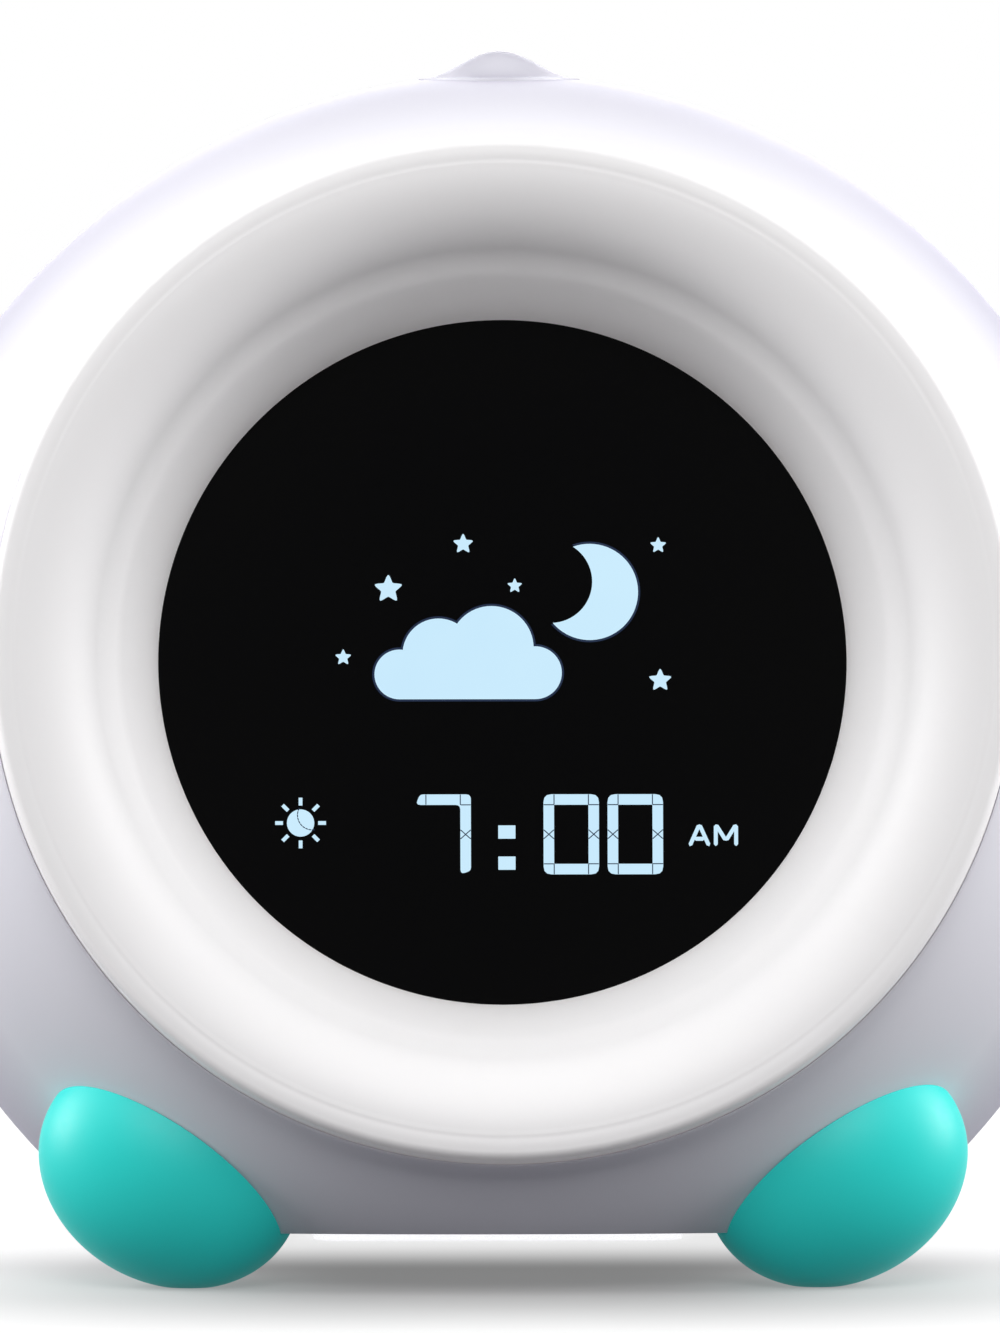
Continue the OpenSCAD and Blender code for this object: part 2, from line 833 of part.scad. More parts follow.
// Key with a rounded cap, a flange behind the panel and a stem towards its switch
module rear_key(index) {
    place = key_places[index];
    face_u = seat_u + panel_t + key_proud;
    edge = 0.7;
    stem_end_u = seat_u - key_flange_t - 0.1;
    color("lightsteelblue")
        in_body()
            translate([place[0], 0, place[1]])
                turned(concat(
                    [[0, face_u + 0.15]],
                    [[key_r * 0.5, face_u + 0.1]],
                    arc(key_r - edge, face_u - edge, edge, 90, 0, 4),
                    [[key_r, seat_u], [key_r + key_flange, seat_u], [key_r + key_flange, seat_u - key_flange_t]],
                    [[1.6, seat_u - key_flange_t], [1.6, stem_end_u], [0, stem_end_u]]
                ));
}

module clock_key() {
    rear_key(0);
}

module alarm_key() {
    rear_key(1);
}

module light_key() {
    rear_key(2);
}

module nap_key() {
    rear_key(3);
}

module plus_key() {
    rear_key(4);
}

module minus_key() {
    rear_key(5);
}

// Board behind the keys, cut to the round panel, with an arm for the socket
module key_board() {
    color("darkgreen")
        in_body()
            difference() {
                rod(key_board_r, key_board_u, key_board_u + board_t);
                translate([usb_x + 6, key_board_u - eps, key_board_edge_z - far])
                    cube([far, board_t + 2 * eps, far]);
                translate([-far, key_board_u - eps, usb_z - usb_h - far])
                    cube([2 * far, board_t + 2 * eps, far]);
                for (p = key_screw_places)
                    rod(screw_r + 0.2, key_board_u - eps, key_board_u + board_t + eps, p[0], p[1]);
            }
}

// One push switch under each key
module key_switches() {
    top_u = key_board_u + board_t;
    body_end_u = top_u + key_switch_h - board_t - 0.8;
    color("black")
        in_body()
            for (p = key_places) {
                block(6, 6, top_u, body_end_u, p[0], p[1]);
                rod(1.7, body_end_u - 0.1, body_end_u + 0.8, p[0], p[1]);
            }
}

module key_screws() {
    color("silver")
        in_body()
            for (p = key_screw_places)
                translate([p[0], key_board_u, p[1]])
                    rotate([90, 0, 0])
                        screw(screw_r - 0.05, 1.9, 1.2, board_t + 5);
}

// ---- Speaker, with depths measured forward from the panel's inner face ----

module speaker_basket() {
    throat_r = magnet_r - 0.5;
    color("dimgray")
        in_body()
            translate([0, seat_u, speaker_z])
                difference() {
                    turned([
                        [speaker_r - 2.4, 0], [speaker_r, 0], [speaker_r, -speaker_flange_t],
                        [speaker_r - 1.8, -speaker_flange_t], [throat_r + 0.8, -speaker_depth + 1],
                        [throat_r + 0.8, -speaker_depth], [4, -speaker_depth],
                        [4, -speaker_depth + 1], [throat_r, -speaker_depth + 1],
                        [speaker_r - 2.4, -speaker_flange_t]
                    ]);
                    for (i = [0 : 3])
                        rotate([0, 45 + 90 * i, 0])
                            block(7, 4, -speaker_depth + 1.6, -speaker_flange_t - 1, 0, magnet_r + 3.2);
                }
}

module speaker_cone() {
    rim = speaker_r - 2.7;
    color("black")
        in_body()
            translate([0, seat_u, speaker_z])
                turned([
                    [0, -2.6], [2.6, -3.1], [4.4, -4.4], [rim - 1.6, -0.9], [rim - 0.8, -0.4], [rim, -0.9],
                    [rim, -1.2], [rim - 0.8, -0.8], [rim - 1.6, -1.3], [4.2, -5], [3, -5],
                    [3, -speaker_depth + 0.6], [2.4, -speaker_depth + 0.6], [2.4, -3.6], [0, -3]
                ]);
}

module speaker_magnet() {
    color("gray")
        in_body()
            translate([0, seat_u - speaker_depth, speaker_z])
                union() {
                    rod(magnet_r, -magnet_t, 0);
                    rod(2, -0.1, 2.2);
                }
}

module speaker_screws() {
    color("silver")
        in_body()
            for (side = [-1, 1])
                translate([side * speaker_screw_x, seat_u - speaker_flange_t, speaker_z])
                    rotate([90, 0, 0])
                        screw(screw_r - 0.05, 2.9, 1, speaker_flange_t + 1.2);
}

// Metal shell of the charging socket with its tongue, on the key board's arm
module usb_socket() {
    shell_t = 0.3;
    back_u = key_board_u + board_t;
    color("silver")
        in_body()
            union() {
                difference() {
                    block(usb_w, usb_h, back_u, seat_u + panel_t - 0.4, usb_x, usb_z);
                    block(
                        usb_w - 2 * shell_t, usb_h - 2 * shell_t, back_u + 1, seat_u + panel_t + eps, usb_x, usb_z
                    );
                }
                block(0.7, usb_h - 2.4, back_u + 0.5, seat_u + panel_t - 1.2, usb_x, usb_z);
            }
}

// ---- Batteries ----

// One battery across the compartment, its terminal pointing left or right
module battery(index) {
    way = index % 2 == 0 ? 1 : -1;
    u = bay_front_u + cell_pitch * (index + 0.5);
    start = way * (bay_len / 2 - contact_t - terminal_len - 0.1);
    edge = 0.6;
    color("goldenrod")
        in_body()
            translate([start, u, cell_w])
                rotate([0, -90 * way, 0])
                    rotate_extrude()
                        polygon([
                            [0, -terminal_len], [1.7, -terminal_len], [1.7, 0], [cell_r - edge, 0],
                            [cell_r, edge], [cell_r, cell_len - edge], [cell_r - edge, cell_len], [0, cell_len]
                        ]);
}

module battery_front() {
    battery(0);
}

module battery_rear() {
    battery(1);
}

// Sprung contact at one end of each battery and a flat one at the other
module battery_contacts() {
    gap = bay_len - 2 * contact_t - terminal_len - cell_len - 0.3;
    color("silver")
        in_body()
            for (index = [0, 1])
                let (way = index % 2 == 0 ? 1 : -1, u = bay_front_u + cell_pitch * (index + 0.5))
                    for (end = [-1, 1])
                        translate([end * bay_len / 2, u, cell_w])
                            rotate([0, -90 * end, 0]) {
                                translate([-4, -4.2, 0])
                                    cube([8, 8.4, contact_t]);
                                if (end != way)
                                    translate([0, 0, contact_t - 0.1])
                                        cylinder(r1 = 4, r2 = 2.4, h = gap + 0.1);
                            }
}

// Door flush with the base, with a raised frame that drops into the compartment
module battery_door() {
    color("white")
        in_body()
            difference() {
                union() {
                    door_plate(0, -base_drop, door_top_w);
                    difference() {
                        bay_box(-fit, door_top_w - 0.1, door_top_w + 1);
                        bay_box(-fit - 1.2, door_top_w - 1, door_top_w + 2);
                    }
                }
                translate([0, door_screw_u, -base_drop - eps]) {
                    cylinder(r = screw_r + 0.2, h = 5);
                    cylinder(r = 2.4, h = eps + door_screw_head_t);
                }
                for (i = [-2 : 2])
                    translate([-8, bay_u + i * 2.4 - 0.5, -base_drop - eps])
                        cube([16, 1, eps + 0.5]);
            }
}

module door_screw() {
    color("silver")
        in_body()
            translate([0, door_screw_u, -base_drop + door_screw_head_t])
                rotate([180, 0, 0])
                    screw(screw_r - 0.05, 2, door_screw_head_t - 0.1, 8);
}

// ---- Feet ----

// Egg-shaped foot cut to the housing's curve, with a peg through the wall and a flat sole
module right_foot() {
    color("mediumturquoise")
        difference() {
            in_body()
                difference() {
                    union() {
                        difference() {
                            translate([foot_x, -foot_reach, foot_w])
                                rotate([0, -foot_slope, 0])
                                    scale([foot_a, foot_c, foot_b])
                                        sphere(r = 1);
                            front_solid(-fit, seam_u + 20);
                        }
                        on_foot_axis(1)
                            translate([0, 0, foot_peg_in])
                                cylinder(r = foot_peg_r, h = 6);
                    }
                    on_foot_axis(1)
                        translate([0, 0, foot_peg_in - 1])
                            cylinder(r = screw_r + 0.3, h = foot_screw_len - 1);
                }
            translate([-far / 2, -far / 2, -far])
                cube([far, far, far]);
        }
}

module left_foot() {
    mirror([1, 0, 0])
        right_foot();
}

module foot_screws() {
    color("silver")
        in_body()
            for (side = [-1, 1])
                on_foot_axis(side)
                    translate([0, 0, foot_peg_in])
                        rotate([180, 0, 0])
                            screw(screw_r + 0.2, 3.4, 1.4, foot_screw_len - 3);
}

// Rubber pad under the rear edge of the base, wedge-shaped so that its sole is level
module rear_pad() {
    color("dimgray")
        difference() {
            in_body()
                round_plate(pad_w, pad_d, 3, -base_drop - 8, -base_drop, seam_u + 14);
            translate([-far / 2, -far / 2, -far])
                cube([far, far, far]);
        }
}

front_shell();
rear_shell();
light_ring();
display_lens();
display_glass();
display_carrier();
display_ribbon();
lamp_board();
lamps();
main_board();
board_parts();
ring_screws();
board_screws();
top_button();
button_board();
button_switch();
button_screws();
rear_panel();
clock_key();
alarm_key();
light_key();
nap_key();
plus_key();
minus_key();
key_board();
key_switches();
key_screws();
speaker_basket();
speaker_cone();
speaker_magnet();
speaker_screws();
usb_socket();
battery_front();
battery_rear();
battery_contacts();
battery_door();
door_screw();
left_foot();
right_foot();
foot_screws();
rear_pad();
housing_screws();
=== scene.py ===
"""Looks of a round bedside clock: white housing, dished light ring, dark display, two egg-shaped teal feet.

Lengths are in millimetres while a piece is modelled and become metres when it is placed.
"u" is the distance behind the housing's centre along its own axis, "v" the distance behind the ring's rim.
"""
import math

import bmesh
import bpy
from mathutils import Matrix, Vector


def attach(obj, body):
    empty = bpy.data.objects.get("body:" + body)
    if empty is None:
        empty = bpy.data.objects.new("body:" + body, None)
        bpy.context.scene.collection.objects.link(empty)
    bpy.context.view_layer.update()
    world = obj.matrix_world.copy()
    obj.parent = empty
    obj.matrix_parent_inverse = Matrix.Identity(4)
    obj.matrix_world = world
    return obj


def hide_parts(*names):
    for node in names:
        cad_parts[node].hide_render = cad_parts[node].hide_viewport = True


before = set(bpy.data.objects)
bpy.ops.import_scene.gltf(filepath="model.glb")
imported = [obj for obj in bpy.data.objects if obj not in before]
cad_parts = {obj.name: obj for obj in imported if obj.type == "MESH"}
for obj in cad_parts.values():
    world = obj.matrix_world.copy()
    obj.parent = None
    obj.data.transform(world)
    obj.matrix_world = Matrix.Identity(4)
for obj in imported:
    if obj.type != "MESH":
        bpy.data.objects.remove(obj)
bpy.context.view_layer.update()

MM = 0.001
TURN_STEPS = 240  # of a full turn of a spun piece

# ---- Sizes of the housing, the face and the feet, angles in degrees ----
BODY_R = 82.2
FRONT_ROUND = 48.0  # arc of the housing's section before its belt
REAR_ROUND = 40.0  # and behind it
CAP_ROUND = 90.0  # shallow arc that leads on to the rear panel
BELT_DEPTH = 8.0  # straight part between the first two arcs
WALL = 2.4
TILT = 5.5  # lean of the housing
SEAM_U = 15.0
RING_R = BODY_R - 16.7
RING_RISE = 7.9  # height of the ring's middle over the housing's axis
RING_REACH = 37.0  # its rim is this far before the housing's centre
FACE_TILT = 6.0  # lean of the ring on the housing
LIP_W = 3.2
LIP_EDGE = 1.2
SKIRT_DEPTH = 12.0
COLLAR_W = 3.5  # seat of the ring inside the housing
FIT = 0.2  # gap round a piece that comes out
RING_GAP = 0.07  # gap that shows round the ring
VIEW_R = RING_R - 21.4
VIEW_DEPTH = 13.8  # the lens lies this far behind the ring's rim
PANEL_R = 38.6
PANEL_EDGE = 0.6
FOOT_AXES = (17.4, 10.7, 14.6)
FOOT_SLOPE = 27.9
FOOT_DIST = BODY_R - 9.8
FOOT_ANGLE = 36.1
FOOT_REACH = 25.4
FOOT_FLAT = 0.3
BASE_BELOW_FEET = 8.1  # the flat base is this far below the middles of the feet


def sine(angle):
    """Sine of an angle in degrees."""
    return math.sin(math.radians(angle))


def cosine(angle):
    """Cosine of an angle in degrees."""
    return math.cos(math.radians(angle))


# The housing's own frame stands over the origin by the feet and the middle of its depth
BASE_DROP = FOOT_DIST * cosine(FOOT_ANGLE) + BASE_BELOW_FEET
FRONT_CR = BODY_R - FRONT_ROUND
REAR_CR = BODY_R - REAR_ROUND
REAR_TURN = 60.0
CAP_CR = REAR_CR + (REAR_ROUND - CAP_ROUND) * cosine(REAR_TURN)
CAP_CU = BELT_DEPTH + (REAR_ROUND - CAP_ROUND) * sine(REAR_TURN)
RIM_R = PANEL_R + FIT + PANEL_EDGE
RIM_U = CAP_CU + math.sqrt(CAP_ROUND**2 - (RIM_R - CAP_CR) ** 2)
FOOT_CENTRE = Vector((FOOT_DIST * sine(FOOT_ANGLE), -FOOT_REACH, -FOOT_DIST * cosine(FOOT_ANGLE)))
LEAN = TILT + FACE_TILT
LIP_FRONT = (RING_R - LIP_EDGE) * sine(LEAN) + (LIP_W - LIP_EDGE) * cosine(LEAN) + LIP_EDGE
FACE_FRONT = RING_REACH * cosine(TILT) - RING_RISE * sine(TILT) + LIP_FRONT
BODY_Y = (FACE_FRONT - RIM_U * cosine(TILT) - RIM_R * sine(TILT)) / 2
FOOT_DROP = Vector(
    (
        FOOT_AXES[0] * sine(FOOT_SLOPE) * cosine(TILT),
        FOOT_AXES[2] * cosine(FOOT_SLOPE) * cosine(TILT),
        FOOT_AXES[1] * sine(TILT),
    )
).length
BODY_H = FOOT_DROP - FOOT_FLAT - FOOT_REACH * sine(TILT) - FOOT_CENTRE.z * cosine(TILT)

BODY = Matrix.Translation((0, BODY_Y, BODY_H)) @ Matrix.Rotation(math.radians(-TILT), 4, "X")
ON_BODY = Matrix.Translation((0, -RING_REACH, RING_RISE)) @ Matrix.Rotation(math.radians(-FACE_TILT), 4, "X")
FACE = BODY @ ON_BODY


# ---- Mesh helpers ----
SHARP_TURN = 24.0  # a corner of an outline that turns less is left alone
EASE_SHARE = 0.45  # most of a side that a rounded corner may take
SHARP_EDGE = 32.0  # edges with a larger angle stay sharp in the shading
WELD = 2e-6  # loose corners this near each other, in metres, are joined


def arc(cr, cu, r, start, end, steps):
    """Points of radius and depth on a circle, from one angle to another in degrees."""
    angles = [math.radians(start + (end - start) * i / steps) for i in range(steps + 1)]
    return [(cr + r * math.cos(a), cu + r * math.sin(a)) for a in angles]


def blend(start, pull, end, s):
    """Point at a share of the way along a curve between two places that is drawn toward a third."""
    return start * (1 - s) ** 2 + pull * (2 * s * (1 - s)) + end * s**2


def eased(points, radius, steps=4, closed=True):
    """The outline with its sharp corners rounded, as far as their neighbours leave room."""
    out = []
    count = len(points)
    for i, p in enumerate(points):
        here = Vector(p)
        if not closed and i in (0, count - 1):
            out.append(tuple(here))
            continue
        before = Vector(points[i - 1]) - here
        after = Vector(points[(i + 1) % count]) - here
        turn = math.pi - before.angle(after)
        if turn < math.radians(SHARP_TURN) or here.x < 0.01:
            out.append(tuple(here))
            continue
        reach = min(radius * math.tan(turn / 2), before.length * EASE_SHARE, after.length * EASE_SHARE)
        a, b = here + before.normalized() * reach, here + after.normalized() * reach
        out += [tuple(blend(a, here, b, k / steps)) for k in range(steps + 1)]
    return out


def spun(outline, steps=TURN_STEPS, closed=True):
    """Surface of revolution about Y from an outline of radius and depth, with its row numbers kept."""
    bm = bmesh.new()
    row = bm.verts.layers.int.new("row")
    verts = [bm.verts.new((r, depth, 0)) for r, depth in outline]
    for i, vert in enumerate(verts):
        vert[row] = i
    ends = verts[1:] + verts[:1] if closed else verts[1:]
    for a, b in zip(verts, ends):
        if max(a.co.x, b.co.x) > 1e-3:
            bm.edges.new((a, b))
    bmesh.ops.spin(
        bm, geom=bm.verts[:] + bm.edges[:], cent=(0, 0, 0), axis=(0, 1, 0), angle=math.tau, steps=steps, use_merge=True
    )
    bmesh.ops.remove_doubles(bm, verts=bm.verts, dist=1e-4)
    bmesh.ops.recalc_face_normals(bm, faces=bm.faces)
    return bm


def rod(r, start, end, x=0.0, z=0.0):
    """Rod along Y from one depth to another."""
    bm = bmesh.new()
    bmesh.ops.create_cone(bm, cap_ends=True, segments=64, radius1=r, radius2=r, depth=end - start)
    turn = Matrix.Rotation(math.radians(90), 4, "X")
    bmesh.ops.transform(bm, matrix=Matrix.Translation((x, (start + end) / 2, z)) @ turn, verts=bm.verts)
    return bm


def raised(points, way):
    """Closed solid from a flat outline that is drawn out along a vector."""
    bm = bmesh.new()
    face = bm.faces.new([bm.verts.new(point) for point in points])
    made = bmesh.ops.extrude_face_region(bm, geom=[face])["geom"]
    bmesh.ops.translate(bm, vec=way, verts=[v for v in made if isinstance(v, bmesh.types.BMVert)])
    bmesh.ops.recalc_face_normals(bm, faces=bm.faces)
    return bm


def add_to(whole, part):
    """Puts one mesh beside another in the same piece."""
    mesh = bpy.data.meshes.new("part")
    part.to_mesh(mesh)
    part.free()
    whole.from_mesh(mesh)
    bpy.data.meshes.remove(mesh)


def joined(parts):
    """One mesh from several."""
    whole = bmesh.new()
    for part in parts:
        add_to(whole, part)
    return whole


def cut_flat(bm, point, outward):
    """Cuts off what lies beyond a plane and closes the cut."""
    cut = bmesh.ops.bisect_plane(
        bm, geom=bm.verts[:] + bm.edges[:] + bm.faces[:], dist=1e-4, plane_co=point, plane_no=outward, clear_outer=True
    )["geom_cut"]
    bmesh.ops.edgenet_fill(bm, edges=[e for e in cut if isinstance(e, bmesh.types.BMEdge)])
    bmesh.ops.recalc_face_normals(bm, faces=bm.faces)
    return bm


def carved(bm, cutters, operation="DIFFERENCE"):
    """The mesh after an exact boolean with each cutter in turn."""
    scene = bpy.context.scene
    for cutter in cutters:
        made = []
        for part in (bm, cutter):
            mesh = bpy.data.meshes.new("blank")
            part.to_mesh(mesh)
            part.free()
            made.append(bpy.data.objects.new("blank", mesh))
            scene.collection.objects.link(made[-1])
        step = made[0].modifiers.new("carve", "BOOLEAN")
        step.solver = "EXACT"
        step.operation = operation
        step.object = made[1]
        result = bpy.data.meshes.new_from_object(made[0].evaluated_get(bpy.context.evaluated_depsgraph_get()))
        bm = bmesh.new()
        bm.from_mesh(result)
        bpy.data.meshes.remove(result)
        for blank in made:
            mesh = blank.data
            bpy.data.objects.remove(blank)
            bpy.data.meshes.remove(mesh)
    return bm


def soft_normals():
    """Modifier nodes that join loose corners and shade smoothly over all but sharp edges."""
    tree = bpy.data.node_groups.new("soft_normals", "GeometryNodeTree")
    tree.interface.new_socket("Geometry", in_out="INPUT", socket_type="NodeSocketGeometry")
    limit = tree.interface.new_socket("Sharp Angle", in_out="INPUT", socket_type="NodeSocketFloat")
    limit.default_value = math.radians(SHARP_EDGE)
    tree.interface.new_socket("Geometry", in_out="OUTPUT", socket_type="NodeSocketGeometry")
    nodes, links = tree.nodes, tree.links
    source, sink = nodes.new("NodeGroupInput"), nodes.new("NodeGroupOutput")
    weld = nodes.new("GeometryNodeMergeByDistance")
    weld.inputs["Distance"].default_value = WELD
    faces, edges = nodes.new("GeometryNodeSetShadeSmooth"), nodes.new("GeometryNodeSetShadeSmooth")
    faces.domain, edges.domain = "FACE", "EDGE"
    angle, below = nodes.new("GeometryNodeInputMeshEdgeAngle"), nodes.new("FunctionNodeCompare")
    below.data_type, below.operation = "FLOAT", "LESS_THAN"
    links.new(source.outputs["Geometry"], weld.inputs["Geometry"])
    links.new(weld.outputs["Geometry"], faces.inputs["Geometry"])
    links.new(faces.outputs["Geometry"], edges.inputs["Geometry"])
    links.new(angle.outputs["Unsigned Angle"], below.inputs[0])
    links.new(source.outputs["Sharp Angle"], below.inputs[1])
    links.new(below.outputs["Result"], edges.inputs["Shade Smooth"])
    links.new(edges.outputs["Geometry"], sink.inputs["Geometry"])
    return tree


SOFT_NORMALS = soft_normals()


def place(bm, name, matrix, material, body="clock", stands_for=()):
    """Makes a finished piece: metres, shared frame, material, body and the CAD nodes that it stands for."""
    bmesh.ops.transform(bm, matrix=Matrix.Scale(MM, 4) @ matrix, verts=bm.verts)
    for face in bm.faces:
        face.smooth = True
    mesh = bpy.data.meshes.new(name)
    bm.to_mesh(mesh)
    bm.free()
    mesh.materials.append(material)
    piece = bpy.data.objects.new(name, mesh)
    bpy.context.scene.collection.objects.link(piece)
    piece.modifiers.new("soft_normals", "NODES").node_group = SOFT_NORMALS
    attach(piece, body)
    if stands_for:
        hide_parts(*stands_for)
    return piece


# ---- Material helpers ----
TONE_SPAN = (0.3, 0.7)  # part of the noise's range that runs from one tone or gloss to the other
FLOW_IN_RELIEF = 0.35
SIGN_GLOW = 0.97
SIGN_UNLIT = (0.01, 0.012, 0.02, 1)


def colour(value):
    """Linear colour from a written one such as f2f0f5."""
    parts = [int(value[i : i + 2], 16) / 255 for i in (0, 2, 4)]
    return tuple(p / 12.92 if p <= 0.04045 else ((p + 0.055) / 1.055) ** 2.4 for p in parts) + (1.0,)


def effect(name, inputs, outputs):
    """Empty shader node group with named inputs and outputs."""
    tree = bpy.data.node_groups.new(name, "ShaderNodeTree")
    for label, kind, default in inputs:
        socket = tree.interface.new_socket(label, in_out="INPUT", socket_type=kind)
        if default is not None:
            socket.default_value = default
    for label, kind in outputs:
        tree.interface.new_socket(label, in_out="OUTPUT", socket_type=kind)
    return tree, tree.nodes.new("NodeGroupInput"), tree.nodes.new("NodeGroupOutput")


def moulded_grain():
    """Soft flow marks and fine grain of a moulded surface: a slow tone, a fine tone and a height."""
    tree, source, sink = effect(
        "moulded_grain",
        [
            ("Vector", "NodeSocketVector", None),
            ("Flow Scale", "NodeSocketFloat", 14.0),
            ("Grain Scale", "NodeSocketFloat", 1400.0),
        ],
        [("Flow", "NodeSocketFloat"), ("Grain", "NodeSocketFloat"), ("Height", "NodeSocketFloat")],
    )
    nodes, links = tree.nodes, tree.links
    flow, grain, both = nodes.new("ShaderNodeTexNoise"), nodes.new("ShaderNodeTexNoise"), nodes.new("ShaderNodeMath")
    flow.inputs["Detail"].default_value = 3.0
    grain.inputs["Detail"].default_value = 2.0
    both.operation = "MULTIPLY_ADD"
    both.inputs[1].default_value = FLOW_IN_RELIEF
    for noise, scale in ((flow, "Flow Scale"), (grain, "Grain Scale")):
        links.new(source.outputs["Vector"], noise.inputs["Vector"])
        links.new(source.outputs[scale], noise.inputs["Scale"])
    links.new(flow.outputs["Fac"], both.inputs[0])
    links.new(grain.outputs["Fac"], both.inputs[2])
    links.new(flow.outputs["Fac"], sink.inputs["Flow"])
    links.new(grain.outputs["Fac"], sink.inputs["Grain"])
    links.new(both.outputs[0], sink.inputs["Height"])
    return tree


GRAIN = moulded_grain()


def finish(name, tone, deep, rough, depth, flow=14.0, grain=1400.0, **shader):
    """Material of a moulded or metal surface: two close tones, varied gloss and a relief of a depth in millimetres."""
    material = bpy.data.materials.new(name)
    material.use_nodes = True
    nodes, links = material.node_tree.nodes, material.node_tree.links
    skin = nodes["Principled BSDF"]
    where, marks = nodes.new("ShaderNodeTexCoord"), nodes.new("ShaderNodeGroup")
    marks.node_tree = GRAIN
    marks.inputs["Flow Scale"].default_value = flow
    marks.inputs["Grain Scale"].default_value = grain
    ramp, gloss, relief = nodes.new("ShaderNodeValToRGB"), nodes.new("ShaderNodeMapRange"), nodes.new("ShaderNodeBump")
    for i, written in enumerate((deep, tone)):
        ramp.color_ramp.elements[i].position = TONE_SPAN[i]
        ramp.color_ramp.elements[i].color = colour(written)
    gloss.inputs["From Min"].default_value, gloss.inputs["From Max"].default_value = TONE_SPAN
    gloss.inputs["To Min"].default_value, gloss.inputs["To Max"].default_value = rough
    relief.inputs["Strength"].default_value = 1.0
    relief.inputs["Distance"].default_value = depth * MM
    links.new(where.outputs["Object"], marks.inputs["Vector"])
    links.new(marks.outputs["Flow"], ramp.inputs["Fac"])
    links.new(marks.outputs["Grain"], gloss.inputs["Value"])
    links.new(marks.outputs["Height"], relief.inputs["Height"])
    links.new(ramp.outputs["Color"], skin.inputs["Base Color"])
    links.new(gloss.outputs["Result"], skin.inputs["Roughness"])
    links.new(relief.outputs["Normal"], skin.inputs["Normal"])
    for socket, value in shader.items():
        skin.inputs[socket.replace("_", " ")].default_value = value
    return material


white_shell = finish("white_shell", "efeef5", "ecebf3", (0.42, 0.48), depth=0.004, Specular_IOR_Level=0.1)
# The ring's faint warm emission is painted light that brightens it all over
ring_diffuser = finish(
    "ring_diffuser", "f5f4f5", "f2f1f2", (0.46, 0.52), depth=0.004, Specular_IOR_Level=0.4,
    Emission_Color=colour("fff6f1"), Emission_Strength=0.08,
)
black_lens = finish("black_lens", "090909", "070708", (0.16, 0.2), depth=0.0, Specular_IOR_Level=0.02)
inner_white = finish("inner_white", "e4e4e2", "dcdcda", (0.5, 0.6), depth=0.01)
panel_plastic = finish("panel_plastic", "efeef2", "e9e8ed", (0.5, 0.6), depth=0.03, grain=2600.0)
# The feet's faint teal emission is painted light that brightens them all over
foot_teal = finish(
    "foot_teal", "1cd2ca", "1acbc3", (0.44, 0.5), depth=0.004, Specular_IOR_Level=0.5,
    Emission_Color=colour("06fff8"), Emission_Strength=0.07,
)
key_rubber = finish("key_rubber", "9fb3c4", "96aabd", (0.55, 0.68), depth=0.015)
pad_rubber = finish("pad_rubber", "f4f4f8", "f0f0f5", (0.06, 0.1), depth=0.0, Transmission_Weight=1.0, IOR=1.12)
screw_steel = finish("screw_steel", "c4c4c8", "b2b2b8", (0.25, 0.4), depth=0.004, Metallic=1.0)
bright_metal = finish("bright_metal", "d6d6da", "c8c8cd", (0.18, 0.3), depth=0.002, Metallic=1.0)
dark_metal = finish("dark_metal", "4a4a4d", "3f3f42", (0.4, 0.5), depth=0.01)
board_green = finish("board_green", "1d5a38", "174d2f", (0.35, 0.45), depth=0.01)
board_part = finish("board_part", "2b2b2e", "232325", (0.5, 0.6), depth=0.01)
lamp_white = finish("lamp_white", "f1efe2", "e9e6d4", (0.4, 0.5), depth=0.01)
lamp_body = finish("lamp_body", "f6efc4", "efe4a8", (0.3, 0.4), depth=0.01)
ribbon_film = finish("ribbon_film", "c4914a", "b8853f", (0.3, 0.4), depth=0.01)
display_glass = finish("display_glass", "303843", "2a313b", (0.08, 0.12), depth=0.001)
speaker_paper = finish("speaker_paper", "2c2c2c", "232323", (0.8, 0.9), depth=0.1, grain=900.0)
battery_wrap = finish("battery_wrap", "b98a3a", "ae8032", (0.22, 0.32), depth=0.004, Metallic=0.6)


def shade_at_outline(material, tone, start):
    """Darkens a pale surface's colour where it turns away from the eye: painted shade at the outline."""
    nodes, links = material.node_tree.nodes, material.node_tree.links
    ramp, skin = nodes["Color Ramp"], nodes["Principled BSDF"]
    turn, reach = nodes.new("ShaderNodeLayerWeight"), nodes.new("ShaderNodeMapRange")
    outline_shade = nodes.new("ShaderNodeMix")
    turn.inputs["Blend"].default_value = 0.5
    reach.inputs["From Min"].default_value, reach.inputs["From Max"].default_value = start, 1.0
    outline_shade.data_type, outline_shade.blend_type = "RGBA", "MULTIPLY"
    outline_shade.inputs["B"].default_value = colour(tone)
    links.new(turn.outputs["Facing"], reach.inputs["Value"])
    links.new(reach.outputs["Result"], outline_shade.inputs["Factor"])
    links.new(ramp.outputs["Color"], outline_shade.inputs["A"])
    links.new(outline_shade.outputs["Result"], skin.inputs["Base Color"])


# Painted shade at the outlines of the housing and the top button
shade_at_outline(white_shell, "bebcca", 0.5)
button_white = finish("button_white", "e9e8ef", "e6e5ed", (0.42, 0.48), depth=0.004, Specular_IOR_Level=0.08)
shade_at_outline(button_white, "b0aebb", 0.3)


def glowing(name, tone, deep):
    """Lit print on the display: it shines in two close tones and takes next to no light from the room."""
    material = finish(name, tone, deep, (0.4, 0.5), depth=0.0, flow=60.0, Specular_IOR_Level=0.05)
    nodes, links = material.node_tree.nodes, material.node_tree.links
    ramp, skin = nodes["Color Ramp"], nodes["Principled BSDF"]
    links.remove(skin.inputs["Base Color"].links[0])
    skin.inputs["Base Color"].default_value = SIGN_UNLIT
    links.new(ramp.outputs["Color"], skin.inputs["Emission Color"])
    skin.inputs["Emission Strength"].default_value = SIGN_GLOW
    return material


lit_blue = glowing("lit_blue", "cdeeff", "c9ebfe")
navy_film = glowing("navy_film", "1c2b44", "182640")

